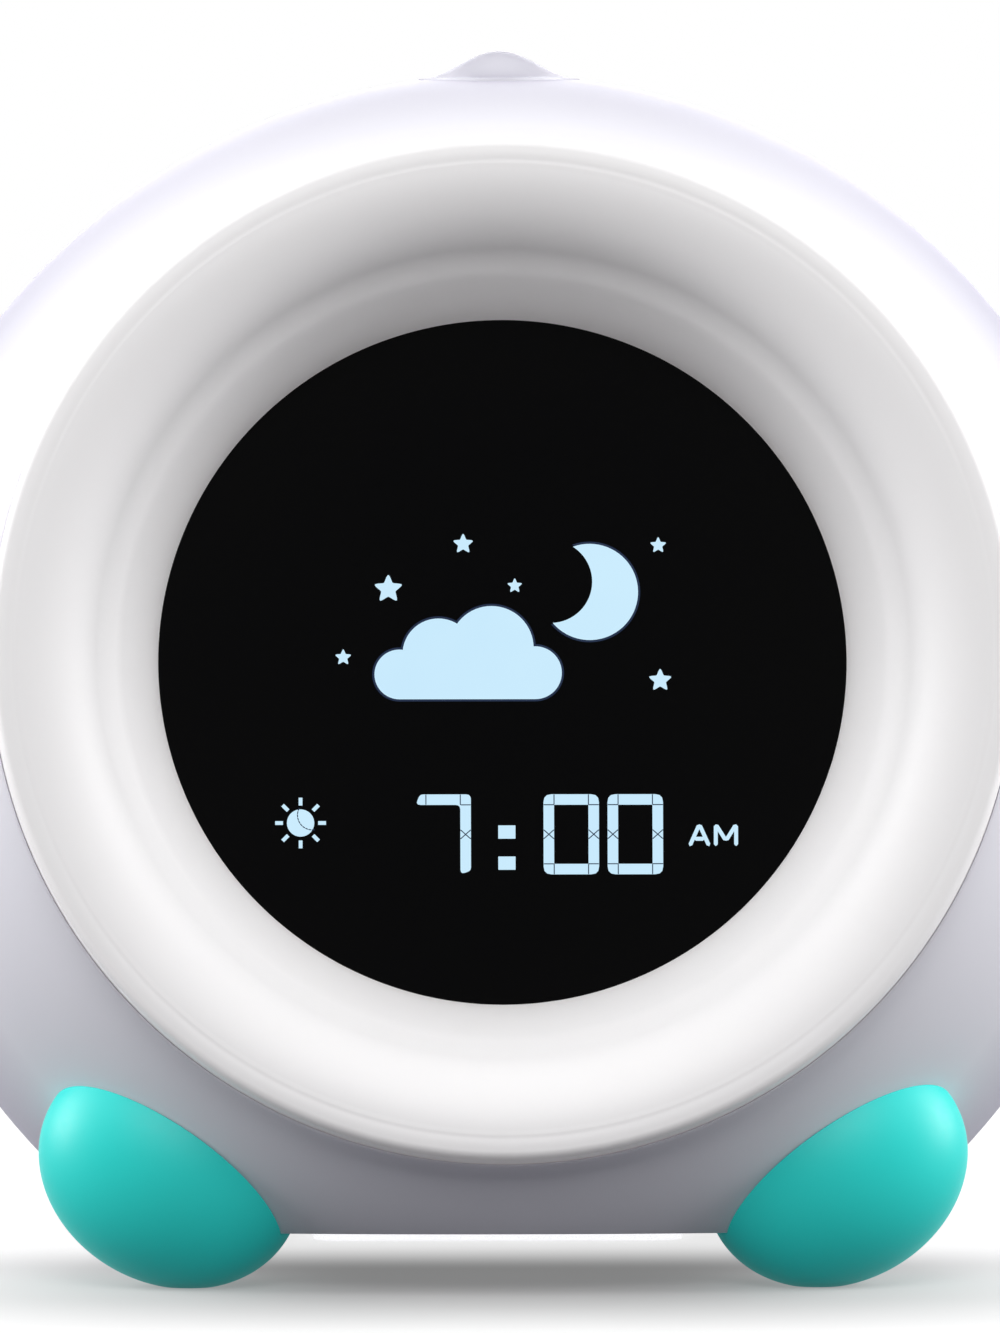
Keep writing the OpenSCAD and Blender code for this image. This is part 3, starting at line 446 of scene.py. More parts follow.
CAD_FINISHES = {
    inner_white: ["display_carrier"],
    panel_plastic: ["rear_panel"],
    key_rubber: ["clock_key", "alarm_key", "light_key", "nap_key", "plus_key", "minus_key"],
    pad_rubber: ["rear_pad"],
    screw_steel: [
        "ring_screws", "board_screws", "button_screws", "key_screws", "speaker_screws", "door_screw", "foot_screws",
        "housing_screws",
    ],
    bright_metal: ["usb_socket", "battery_contacts", "speaker_magnet"],
    dark_metal: ["speaker_basket"],
    board_green: ["main_board", "button_board", "key_board"],
    board_part: ["board_parts", "button_switch", "key_switches"],
    lamp_white: ["lamp_board"],
    lamp_body: ["lamps"],
    ribbon_film: ["display_ribbon"],
    display_glass: ["display_glass"],
    speaker_paper: ["speaker_cone"],
    battery_wrap: ["battery_front", "battery_rear"],
    white_shell: ["rear_shell", "battery_door"],
}
for material, names in CAD_FINISHES.items():
    for name in names:
        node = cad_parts[name]
        node.data.materials.clear()
        node.data.materials.append(material)
        node.modifiers.new("soft_normals", "NODES").node_group = SOFT_NORMALS


# ---- Housing ----
HALVINGS = 36  # of the search for the opening's edge
OPENING_EASE = 0.7  # rounding of the housing's edge round the ring
SEAM_EDGE, SEAM_CREASE = 0.35, 0.04
FRONT_ROWS, EASE_ROWS, LINING_ROWS = 30, 5, 20
SKIN_DEPTHS = (2.7, 5.3, 8.0, 10.0, 12.0, 13.5, SEAM_U - SEAM_EDGE)
LINING_DEPTHS = (4.0, 8.0, 12.0, SEAM_U)
WALL_MIDDLE = 9.0  # depth of the row between the two ends of the opening's wall
APART = 60  # radius of the first row before it is moved into place
BASE_EDGE = 1.2  # rounding of the flat base
FACE_OF_BODY = ON_BODY.inverted()


def on_front(azimuth, angle, inset=0.0):
    """Point on the front arc of the housing, or of its inner wall, in the housing's frame."""
    r = FRONT_CR + (FRONT_ROUND - inset) * math.cos(angle)
    return Vector((r * math.cos(azimuth), (FRONT_ROUND - inset) * math.sin(angle), r * math.sin(azimuth)))


def on_rear(azimuth, u, inset=0.0):
    """Point on the belt or the rear arc at a depth, or on their inner wall, in the housing's frame."""
    r = REAR_CR + math.sqrt((REAR_ROUND - inset) ** 2 - max(u - BELT_DEPTH, 0) ** 2)
    return Vector((r * math.cos(azimuth), u, r * math.sin(azimuth)))


def behind_rim(point, depth):
    """The point moved along the face's axis to a depth behind the ring's rim."""
    seen = FACE_OF_BODY @ point
    seen.y = depth
    return ON_BODY @ seen


def crossing(azimuth, inset, radius, deepest=None):
    """Angle on the front arc at which it leaves a cylinder about the face's axis, or passes a depth before that."""
    low, high = math.radians(-89), 0.0
    for _ in range(HALVINGS):
        mid = (low + high) / 2
        seen = FACE_OF_BODY @ on_front(azimuth, mid, inset)
        if math.hypot(seen.x, seen.z) < radius and (deepest is None or seen.y < deepest):
            low = mid
        else:
            high = mid
    return (low + high) / 2


def front_skin(inset):
    """Outer or inner skin of the housing's front, from the ring's opening to the seam."""
    if inset:
        opening = RING_R + COLLAR_W + FIT
        rows = [("collar", 0)] + [("front", i / LINING_ROWS) for i in range(LINING_ROWS + 1)]
        rows += [("rear", depth) for depth in LINING_DEPTHS]
    else:
        opening = RING_R + RING_GAP
        rows = [("wall", SKIRT_DEPTH), ("wall", WALL_MIDDLE)]
        rows += [("ease", i / EASE_ROWS) for i in range(EASE_ROWS + 1)]
        rows += [("front", i / FRONT_ROWS) for i in range(1, FRONT_ROWS + 1)]
        rows += [("rear", depth) for depth in SKIN_DEPTHS] + [("seam", 0)]
    # Each row is spun as a circle of its own and then moved into place
    bm = spun([(APART + i, i) for i in range(len(rows))], closed=False)
    layer = bm.verts.layers.int["row"]
    starts = {}
    for vert in bm.verts:
        kind, t = rows[vert[layer]]
        azimuth = math.atan2(vert.co.z, vert.co.x)
        key = round(azimuth * 1e5)
        if key not in starts:
            starts[key] = crossing(azimuth, inset, opening, SKIRT_DEPTH if inset else None)
        start = starts[key]
        edge = on_front(azimuth, start, inset)
        first = start if inset else start + OPENING_EASE / FRONT_ROUND
        if kind == "wall":
            vert.co = behind_rim(edge, t)
        elif kind == "collar":
            vert.co = behind_rim(edge, SKIRT_DEPTH)
        elif kind == "ease":
            deep = behind_rim(edge, (FACE_OF_BODY @ edge).y + OPENING_EASE)
            vert.co = blend(deep, edge, on_front(azimuth, first), t)
        elif kind == "front":
            vert.co = on_front(azimuth, first * (1 - t), inset)
        elif kind == "rear":
            vert.co = on_rear(azimuth, t, inset)
        else:
            vert.co = on_rear(azimuth, SEAM_U, SEAM_EDGE * 0.9)
            vert.co.y = SEAM_U - SEAM_CREASE
    return bm


def flat_base(bm, inset):
    """Cuts a skin flat at the base and closes it with a plate, rounded at its outer edge."""
    level = inset - BASE_DROP
    bmesh.ops.bisect_plane(
        bm, geom=bm.verts[:] + bm.edges[:] + bm.faces[:], dist=1e-4, plane_co=(0, 0, level), plane_no=(0, 0, -1),
        clear_outer=True,
    )
    at_base = [v for v in bm.verts if abs(v.co.z - level) < 1e-3]
    # Points that crowd along the cut would fold the rounded edge
    bmesh.ops.remove_doubles(bm, verts=at_base, dist=0.3)
    rim = [e for e in bm.edges if e.is_boundary and all(abs(v.co.z - level) < 1e-3 for v in e.verts)]
    marks = set(rim)
    ends = [v for v in {v for e in rim for v in e.verts} if sum(e in marks for e in v.link_edges) == 1]
    bmesh.ops.edgenet_fill(bm, edges=rim + [bm.edges.new(ends)])
    bmesh.ops.recalc_face_normals(bm, faces=bm.faces)
    if not inset:
        bmesh.ops.bevel(
            bm, geom=rim, offset=BASE_EDGE, segments=4, profile=0.5, affect="EDGES", material=-1, clamp_overlap=True
        )
    return bm


def hollow(make):
    """Closed shell from an outer and an inner skin, joined along their open edges."""
    bm = flat_base(make(0.0), 0.0)
    add_to(bm, flat_base(make(WALL), WALL))
    open_edges = [e for e in bm.edges if e.is_boundary]
    at_seam = [e for e in open_edges if all(abs(v.co.y - SEAM_U) < 0.1 for v in e.verts)]
    seam = set(at_seam)
    bmesh.ops.bridge_loops(bm, edges=at_seam)
    at_opening = {v for e in open_edges if e not in seam for v in e.verts}
    between = RING_R + COLLAR_W / 2
    rims = []
    for outer in (False, True):
        rim = [v for v in at_opening if (math.hypot(*(FACE_OF_BODY @ v.co).xz) > between) is outer]
        rims.append(sorted(rim, key=lambda v: math.atan2(v.co.z, v.co.x)))
    for i in range(len(rims[0])):
        bm.faces.new([rims[0][i - 1], rims[0][i], rims[1][i], rims[1][i - 1]])
    bmesh.ops.remove_doubles(bm, verts=bm.verts, dist=1e-4)
    bmesh.ops.recalc_face_normals(bm, faces=bm.faces)
    return bm


def upright_rod(r, start, end, u, sides=96):
    """Rod along the housing's own height at a place along its depth."""
    bm = bmesh.new()
    bmesh.ops.create_cone(bm, cap_ends=True, segments=sides, radius1=r, radius2=r, depth=end - start)
    bmesh.ops.translate(bm, vec=(0, u, (start + end) / 2), verts=bm.verts)
    return bm


BUTTON_R, BUTTON_U = 10.4, 1.0
BUTTON_HOLE = (60, 95)  # heights over the housing's axis between which the button's hole is cut

BAY_LEN, BAY_D, BAY_U, BAY_WALL = 50.0, 21.4, 1.0, 1.4
BAY_TOP, BAY_START, BAY_CORNER = 13.3, 0.5, 0.6
BAY_FLANGE, BAY_SLIP = 1.2, 0.02  # flange on the housing's floor, and the gap between the two
DOOR_T, DOOR_MARGIN, DOOR_CORNER = 1.3, 1.6, 3.0
TAB_W, TAB_FRONT = 14.0, -18.9
DOOR_SCREW_U, DOOR_BOSS_R, DOOR_BOSS_TOP = TAB_FRONT + 4.4, 3.4, 13.0
SCREW_HOLE_R, SCREW_HOLE_TOP = 1.2, 12.0
THROUGH = 1.0  # how far a cutter reaches past what it cuts
OVERLAP = 0.001  # keeps two faces that are joined from lying in one plane


def rounded_slab(w, d, corner, low, high, u):
    """Upright plate with rounded corners, about a place along the housing's depth; heights count from the base."""
    outline = []
    for quarter, (side, end) in enumerate(((1, 1), (-1, 1), (-1, -1), (1, -1))):
        middle = Vector((side * (w / 2 - corner), u + end * (d / 2 - corner)))
        for i in range(9):
            angle = math.radians(90 * quarter + 90 * i / 8)
            outline.append((middle.x + corner * math.cos(angle), middle.y + corner * math.sin(angle)))
    return raised([(x, y, low - BASE_DROP) for x, y in outline], (0, 0, high - low))


def door_shape(grow, low, high):
    """The battery door's plate and its screw tab, grown by a gap."""
    more, corner = 2 * (DOOR_MARGIN + grow), DOOR_CORNER + grow
    plate = rounded_slab(BAY_LEN + more, BAY_D + more, corner, low, high, BAY_U)
    tab_d, tab_u = BAY_U - TAB_FRONT + grow, TAB_FRONT + (BAY_U - TAB_FRONT - grow) / 2
    tab = rounded_slab(TAB_W + 2 * grow, tab_d, corner, low - OVERLAP, high + OVERLAP, tab_u)
    return carved(plate, [tab], "UNION")


def bay_blank(grow, low, high):
    """Box of the batteries' bay, grown by a wall."""
    return rounded_slab(BAY_LEN + 2 * grow, BAY_D + 2 * grow, BAY_CORNER, low, high, BAY_U)


def bay_shape():
    """Bay with the seat that its door closes: a plug in the housing's opening, a flange over it, a box and a boss."""
    plug = door_shape(FIT - BAY_SLIP, DOOR_T, WALL + BAY_FLANGE / 2)
    flange = door_shape(FIT + BAY_FLANGE, WALL + BAY_SLIP, WALL + BAY_FLANGE)
    box = bay_blank(BAY_WALL, DOOR_T + BAY_START, BAY_TOP + BAY_WALL)
    boss = upright_rod(DOOR_BOSS_R, WALL - BASE_DROP, DOOR_BOSS_TOP - BASE_DROP, DOOR_SCREW_U, sides=64)
    room = bay_blank(0, 0, BAY_TOP)
    hole = upright_rod(SCREW_HOLE_R, -BASE_DROP, SCREW_HOLE_TOP - BASE_DROP, DOOR_SCREW_U, sides=48)
    return carved(carved(plug, [flange, box, boss], "UNION"), [room, hole])


shell = carved(
    hollow(front_skin),
    [upright_rod(BUTTON_R + FIT, *BUTTON_HOLE, BUTTON_U), door_shape(FIT, -THROUGH, WALL + THROUGH)],
)
place(shell, "housing_front", BODY, white_shell, stands_for=["front_shell"])
place(bay_shape(), "battery_bay", BODY, white_shell)


# ---- Light ring ----
BOWL_R, BOWL_TURN, RING_WALL = 12.0, 67.0, 1.8
LEDGE_STEP = Vector((-0.8, 0.25))
INNER_BEND = Vector((VIEW_R + 0.8, VIEW_DEPTH - 3.2))  # the inner wall is drawn toward this place
RING_BACK = VIEW_DEPTH - 0.02  # the ring's foot stops just before the lens
LIP_CROWN, LIP_SHY = 0.05, 0.35  # rise of the flat lip, and how far short of its inner edge it ends
LIP_BEND = ((0.3, 0.01), (0.1, 0.03), (-0.1, 0.03))  # across and up from the lip's inner edge
LEDGE_TURN, LEDGE_SHARE = 9, 0.12  # how much of the bowl and of the inner wall the soft ledge takes
BACK_STEP, BACK_FOOT = (1.4, 1.2), 2.4  # from the ledge and the lens's edge to the back of the inner wall
SEAT_R, SEAT_DEPTH = 69.0, 13.5
RING_STEPS = 300


def ring_outline():
    """Section of the dished ring: flat lip, bell-shaped bowl, ledge, steep inner wall, and an even wall behind them."""
    lip_cr, bowl_cv, end = RING_R - LIP_W, BOWL_R - LIP_W, -90 - BOWL_TURN
    ridge = Vector((lip_cr + BOWL_R * cosine(end), bowl_cv + BOWL_R * sine(end)))
    ledge, foot = ridge + LEDGE_STEP, Vector((VIEW_R, RING_BACK))
    outline = [(RING_R, SKIRT_DEPTH)] + arc(RING_R - LIP_EDGE, LIP_EDGE - LIP_W, LIP_EDGE, 0, -90, 12)
    for across in [i / 9 for i in range(1, 9)]:
        r = RING_R - LIP_EDGE - (LIP_W - LIP_EDGE - LIP_SHY) * across
        outline.append((r, -LIP_W - LIP_CROWN * math.sin(math.pi * across)))
    outline += [(lip_cr + out, -LIP_W - rise) for out, rise in LIP_BEND]
    outline += arc(lip_cr, bowl_cv, BOWL_R, -92, end + LEDGE_TURN, 44)
    shares = [LEDGE_SHARE + (1 - LEDGE_SHARE) * i / 16 for i in range(17)]
    inner_wall = [blend(ledge, INNER_BEND, foot, s) for s in shares]
    before = Vector(outline[-1])
    outline += [tuple(blend(before, ridge, inner_wall[0], i / 10)) for i in range(1, 10)]
    outline += [tuple(point) for point in inner_wall]
    outline += [(VIEW_R + BACK_FOOT, RING_BACK), (ledge.x + BACK_STEP[0], ledge.y + BACK_STEP[1])]
    outline += arc(lip_cr, bowl_cv, BOWL_R - RING_WALL, end, -90, 16)
    back_r = RING_R - RING_WALL
    return outline + [(back_r, RING_WALL - LIP_W), (back_r, SEAT_DEPTH), (SEAT_R, SEAT_DEPTH), (SEAT_R, SKIRT_DEPTH)]


ring = spun(ring_outline(), steps=RING_STEPS)
place(ring, "dished_ring", FACE, ring_diffuser, stands_for=["light_ring"])


# ---- Display lens ----
LENS_R, LENS_T, LENS_EDGE = 46.8, 2.0, 0.3
LENS_ROWS = [0, 15, 30, 45, LENS_R - 0.8]


def lens_outline():
    """Section of the flat lens with its edge rounded."""
    back = VIEW_DEPTH + LENS_T
    front = [(r, VIEW_DEPTH) for r in LENS_ROWS]
    behind = [(r, back) for r in reversed(LENS_ROWS)]
    edge = eased([front[-1], (LENS_R, VIEW_DEPTH), (LENS_R, back), behind[0]], LENS_EDGE, closed=False)[1:-1]
    return front + edge + behind


place(spun(lens_outline()), "smoked_lens", FACE, black_lens, stands_for=["display_lens"])


# ---- Lit signs on the display, in millimetres across and up from its centre ----
SIGN_T = 0.06
SIGN_FRONT, SIGN_BACK = VIEW_DEPTH - SIGN_T, VIEW_DEPTH + SIGN_T
EDGE_FRONT, EDGE_BACK = VIEW_DEPTH - SIGN_T / 2, VIEW_DEPTH + SIGN_T / 2
SIGN_EDGE = 0.28  # navy border round the moon and the cloud
LINE_T = 0.02


def prism(outline, front, back):
    """Flat plate from an outline of across and up, between two depths."""
    return raised([(x, front, z) for x, z in outline], (0, back - front, 0))


def sign_plates(outlines):
    """Plates for the lit shapes of one sign, just proud of the lens."""
    return joined([prism(outline, SIGN_FRONT, SIGN_BACK) for outline in outlines])


def ring_of_points(x, z, r, start=0.0, end=360.0, steps=48):
    """Points on a circle about a place, without the last one when it closes."""
    last = steps if end - start >= 360 else steps + 1
    angles = [math.radians(start + (end - start) * i / steps) for i in range(last)]
    return [(x + r * math.cos(a), z + r * math.sin(a)) for a in angles]


def bar(a, b, w):
    """Segment of a digit: a bar with pointed ends between two places."""
    a, b = Vector(a), Vector(b)
    along = (b - a).normalized() * w / 2
    across = Vector((-along.y, along.x))
    return [tuple(p) for p in (a, a + along + across, b - along + across, b, b - along - across, a + along - across)]


def eased_flat(points, radius):
    """Closed outline with rounded corners, on either side of the middle."""
    shift = 100.0  # eased() leaves points near its axis alone, so the outline is eased away from it
    return [(x - shift, z) for x, z in eased([(x + shift, z) for x, z in points], radius, steps=3)]


DIGIT_W, DIGIT_H, DIGIT_BAR, DIGIT_FOOT, DIGIT_CORNER = 7.1, 10.3, 1.35, -27.35, 1.0
SEVEN_LEFT, ZERO_LEFTS = -11.2, (5.2, 13.4)
SEVEN_SLANTS = (0.6, 0.5)  # how far the free ends of its top and right-hand bars are cut aslant
COLON_X, COLON_DOTS, COLON_W, COLON_H = 0.5, (-25.9, -21.9), 2.2, 1.7
JOINT_W, JOINT_SLANT = 0.13, 0.6


def square_outline(left, foot, w, h):
    """Rectangle from its lower left corner."""
    return [(left, foot), (left + w, foot), (left + w, foot + h), (left, foot + h)]


def zero_plate(left, front, back):
    """Frame with rounded corners."""
    outer = eased_flat(square_outline(left, DIGIT_FOOT, DIGIT_W, DIGIT_H), DIGIT_CORNER)
    inner = square_outline(
        left + DIGIT_BAR, DIGIT_FOOT + DIGIT_BAR, DIGIT_W - 2 * DIGIT_BAR, DIGIT_H - 2 * DIGIT_BAR
    )
    return carved(prism(outer, front, back), [prism(inner, front - 1, back + 1)])


def seven_outline():
    """Top and right-hand bars that meet in a rounded corner."""
    left, right, top = SEVEN_LEFT, SEVEN_LEFT + DIGIT_W, DIGIT_FOOT + DIGIT_H
    inner, under = right - DIGIT_BAR, top - DIGIT_BAR
    free_left, free_foot = left + SEVEN_SLANTS[0], DIGIT_FOOT + SEVEN_SLANTS[1]
    points = [(left, under), (inner, under), (inner, DIGIT_FOOT), (right, free_foot), (right, top), (free_left, top)]
    return eased_flat(points, DIGIT_CORNER * 0.6)


def time_plate():
    """Seven o'clock in seven-segment figures."""
    dots = [square_outline(COLON_X - COLON_W / 2, z - COLON_H / 2, COLON_W, COLON_H) for z in COLON_DOTS]
    plates = [prism(outline, SIGN_FRONT, SIGN_BACK) for outline in (seven_outline(), *dots)]
    return joined(plates + [zero_plate(left, SIGN_FRONT, SIGN_BACK) for left in ZERO_LEFTS])


SUN_X, SUN_Z, SUN_R = -25.9, -20.7, 1.75
SUN_RAYS, RAY_HALF, RAY_SPAN = 8, 0.24, (0.5, 1.5)
SUN_LINE = (SUN_X + 1.5, SUN_Z + 1.0, 1.9, 150, 280, 10)  # arc drawn on the sun's disc


def sun_outlines():
    """Plain sun: a disc with eight short rays."""
    middle, outlines = Vector((SUN_X, SUN_Z)), [ring_of_points(SUN_X, SUN_Z, SUN_R)]
    for i in range(SUN_RAYS):
        angle = i * math.tau / SUN_RAYS
        way = Vector((math.cos(angle), math.sin(angle)))
        side = Vector((-way.y, way.x)) * RAY_HALF
        near, far = [middle + way * (SUN_R + reach) for reach in RAY_SPAN]
        outlines.append([tuple(p) for p in (near - side, far - side, far + side, near + side)])
    return outlines


def joint_lines():
    """Thin joints between the segments of the figures, and the arc on the sun."""
    lines = []
    middle, top = DIGIT_FOOT + DIGIT_H / 2, DIGIT_FOOT + DIGIT_H
    for left in (SEVEN_LEFT, *ZERO_LEFTS):
        near, far = left + DIGIT_BAR, left + DIGIT_W - DIGIT_BAR
        sides, feet = (left, far), (top - DIGIT_BAR, DIGIT_FOOT + DIGIT_BAR)
        if left == SEVEN_LEFT:
            sides, feet = sides[1:], feet[:1]
        for x in (near, far):
            for foot in feet:
                end = foot + DIGIT_BAR if foot > middle else foot - DIGIT_BAR
                lines.append(((x, foot), (x, end)))
        for x in sides:
            lines += [((x, foot), (x + DIGIT_BAR, foot)) for foot in feet]
            slants = (-JOINT_SLANT, JOINT_SLANT)
            lines += [((x, middle - slant), (x + DIGIT_BAR, middle + slant)) for slant in slants]
    bend = ring_of_points(*SUN_LINE)
    lines += list(zip(bend[:-1], bend[1:]))
    return [bar(start, end, JOINT_W) for start, end in lines]


STARS = ((-14.6, 9.4, 2.1), (-5.0, 15.2, 1.5), (20.2, -2.4, 1.7), (1.6, 9.8, 1.1), (-20.4, 0.6, 1.2), (20.0, 15.0, 1.2))
STAR_WAIST, STAR_SOFT = 0.45, 0.12  # shares of the star's own radius


def star(x, z, r):
    """Five-pointed star with soft tips."""
    points = []
    for i in range(10):
        reach, angle = (r if i % 2 == 0 else r * STAR_WAIST), math.radians(90 + 36 * i)
        points.append((x + reach * math.cos(angle), z + reach * math.sin(angle)))
    return eased_flat(points, r * STAR_SOFT)


MOON_X, MOON_Z, MOON_R = 11.2, 9.0, 6.2
MOON_HORNS, MOON_INNER = (-140, 110), 0.86  # angles of its tips, and the inner arc's share of its radius


def crescent(grow):
    """Moon's outline, grown by a border: a wide outer arc and a shallower inner one."""
    x, z, r = MOON_X, MOON_Z, MOON_R + grow
    outer = ring_of_points(x, z, r, *MOON_HORNS, 48)
    tip_a, tip_b = Vector(outer[0]), Vector(outer[-1])
    middle = (tip_a + tip_b) / 2
    half = (tip_b - tip_a).length / 2
    away = (Vector((x, z)) - middle).normalized()
    inner_r = r * MOON_INNER
    inner = middle - away * math.sqrt(max(inner_r**2 - half**2, 0.0))
    start = math.degrees(math.atan2(tip_b.y - inner.y, tip_b.x - inner.x))
    end = math.degrees(math.atan2(tip_a.y - inner.y, tip_a.x - inner.x))
    return outer + ring_of_points(inner.x, inner.y, inner_r, start, end, 40)[1:-1]


CLOUD_X, CLOUD_Z = -4.6, -1.6
PUFFS = ((-8.6, 0, 3.2), (-3.6, 2.6, 4.6), (3.2, 3.4, 5.4), (8.8, 0.2, 3.4))  # across, up and radius
BAND_LOW, BAND_HIGH = 3.2, 2.0


def cloud_blank(grow, front, back):
    """Cloud from four puffs and a band that joins them at their foot, grown by a border."""
    puffs = [rod(r + grow, front, back, CLOUD_X + x, CLOUD_Z + z) for x, z, r in PUFFS]
    left, right = CLOUD_X + PUFFS[0][0], CLOUD_X + PUFFS[-1][0]
    low, high = CLOUD_Z - BAND_LOW - grow, CLOUD_Z + BAND_HIGH
    band = prism([(left, low), (right, low), (right, high), (left, high)], front, back)
    return carved(puffs[0], puffs[1:] + [band], "UNION")


LETTERS = {
    "A": (((0, 0), (0.5, 1)), ((0.5, 1), (1, 0)), ((0.22, 0.34), (0.78, 0.34))),
    "M": (((0, 0), (0, 1)), ((0, 1), (0.5, 0.25)), ((0.5, 0.25), (1, 1)), ((1, 1), (1, 0))),
}
LETTER_H, LETTER_BAR, LETTER_RISE = 2.8, 0.5, 3.6
LETTERS_AT = (("A", 23.9, 2.5), ("M", 27.25, 2.6))  # left side and width


def morning_outlines():
    """The two plain letters after the time."""
    foot, outlines = DIGIT_FOOT + LETTER_RISE, []
    for letter, left, w in LETTERS_AT:
        for start, end in LETTERS[letter]:
            outlines.append(bar(*[(left + i * w, foot + k * LETTER_H) for i, k in (start, end)], LETTER_BAR))
    return outlines


SIGNS = {
    "lit_time": time_plate(),
    "lit_sun": sign_plates(sun_outlines()),
    "lit_morning_letters": sign_plates(morning_outlines()),
    "lit_stars": sign_plates([star(*place_and_size) for place_and_size in STARS]),
    "lit_moon": sign_plates([crescent(0.0)]),
    "lit_cloud": cloud_blank(0.0, SIGN_FRONT, SIGN_BACK),
}
for name, sign in SIGNS.items():
    place(sign, name, FACE, lit_blue)
borders = [cloud_blank(SIGN_EDGE, EDGE_FRONT, EDGE_BACK), prism(crescent(SIGN_EDGE), EDGE_FRONT, EDGE_BACK)]
joints = [prism(line, SIGN_FRONT - LINE_T, SIGN_FRONT + LINE_T) for line in joint_lines()]
place(joined(borders + joints), "navy_edges", FACE, navy_film)


# ---- Top button ----
BELL_RIM, BELL_H, BELL_ROWS = BODY_R - 0.55, 3.65, 48
CLIP_SHELF = BODY_R - WALL - 3 - FIT  # height at which the button's flange holds it in the housing
CLIP_T, CLIP_R = 1.2, BUTTON_R + 1.7
HOLLOW_R, HOLLOW_TOP, STEM_R = BUTTON_R - 1.8, BELL_RIM - 1.6, 2.0


def bell_outline():
    """Section of the top button: bell, skirt, retaining flange and stem."""
    shares = [i / BELL_ROWS for i in range(BELL_ROWS + 1)]
    bell = [(BUTTON_R * s, BELL_RIM + BELL_H * (1 + math.cos(math.pi * s)) / 2) for s in shares]
    low = CLIP_SHELF - CLIP_T
    skirt = [(BUTTON_R, BELL_RIM - 0.5), (BUTTON_R, CLIP_SHELF), (CLIP_R, CLIP_SHELF), (CLIP_R, low)]
    return bell + skirt + [(HOLLOW_R, low), (HOLLOW_R, HOLLOW_TOP), (STEM_R, HOLLOW_TOP), (STEM_R, low), (0, low)]


button = spun(bell_outline(), steps=128)
upright = Matrix.Translation((0, BUTTON_U, 0)) @ Matrix.Rotation(math.radians(90), 4, "X")
bmesh.ops.transform(button, matrix=upright, verts=button.verts)
place(button, "bell_button", BODY, button_white, body="top_button", stands_for=["top_button"])


# ---- Feet ----
FOOT_GAP = 0.12


def housing_blank(grow):
    """Solid in the housing's outer shape, grown by a gap, for fitting the feet to it."""
    outline = [(0, SEAM_U)] + arc(REAR_CR, BELT_DEPTH, REAR_ROUND + grow, 10, 0, 4)
    outline += arc(FRONT_CR, 0, FRONT_ROUND + grow, 0, -89, 48) + [(0, -FRONT_ROUND - grow)]
    return cut_flat(spun(outline), (0, 0, -BASE_DROP - grow), (0, 0, -1))


def egg_foot(side):
    """Egg-shaped foot with its flat sole, cut to the housing that it is screwed to."""
    bm = bmesh.new()
    bmesh.ops.create_uvsphere(bm, u_segments=144, v_segments=96, radius=1.0)
    shape = Matrix.Translation(Vector((side * FOOT_CENTRE.x, FOOT_CENTRE.y, FOOT_CENTRE.z)))
    shape = shape @ Matrix.Rotation(math.radians(side * FOOT_SLOPE), 4, "Y").inverted()
    shape = shape @ Matrix.Diagonal(Vector(FOOT_AXES).to_4d())
    bmesh.ops.transform(bm, matrix=shape, verts=bm.verts)
    down = (BODY.inverted().to_3x3() @ Vector((0, 0, -1))).normalized()
    sole = BODY.inverted() @ Vector((0, 0, 0))
    return carved(cut_flat(bm, sole, down), [housing_blank(FOOT_GAP)])


for side, word in ((-1, "left"), (1, "right")):
    place(egg_foot(side), f"{word}_egg_foot", BODY, foot_teal, stands_for=[f"{word}_foot"])


# ---- Floor and room ----
FLOOR_HALF = 0.42  # metres
FLOOR_SEEN = (0.3, 0.3, 0.3, 1)
FLOOR_LIT = (0.16, 0.16, 0.175, 1)
FLOOR_GLOW = 0.8
SHADE_BEHIND, SHADE_BEFORE, SHADE_ACROSS = (-16, 14), (-104, -44), (15, 115)  # limits of the shade, in millimetres
SHADE_DEPTH = 0.72


def maths(tree, operation, *values):
    """Result of a maths node on sockets and plain numbers."""
    node = tree.nodes.new("ShaderNodeMath")
    node.operation = operation
    for socket, value in zip(node.inputs, values):
        if isinstance(value, float):
            socket.default_value = value
        else:
            tree.links.new(value, socket)
    return node.outputs[0]


def looked_at(tree):
    """Mask of the rays that show the backdrop: straight, mirrored or through a clear piece."""
    path = tree.nodes.new("ShaderNodeLightPath").outputs
    seen = maths(tree, "MAXIMUM", path["Is Camera Ray"], path["Is Glossy Ray"])
    return maths(tree, "MAXIMUM", seen, path["Is Transmission Ray"])


def falls(tree, source, limits, start, end):
    """Soft step of a length between two limits in millimetres."""
    step = tree.nodes.new("ShaderNodeMapRange")
    step.interpolation_type = "SMOOTHSTEP"
    step.inputs["From Min"].default_value, step.inputs["From Max"].default_value = [v * MM for v in limits]
    step.inputs["To Min"].default_value, step.inputs["To Max"].default_value = start, end
    tree.links.new(source, step.inputs["Value"])
    return step.outputs["Result"]


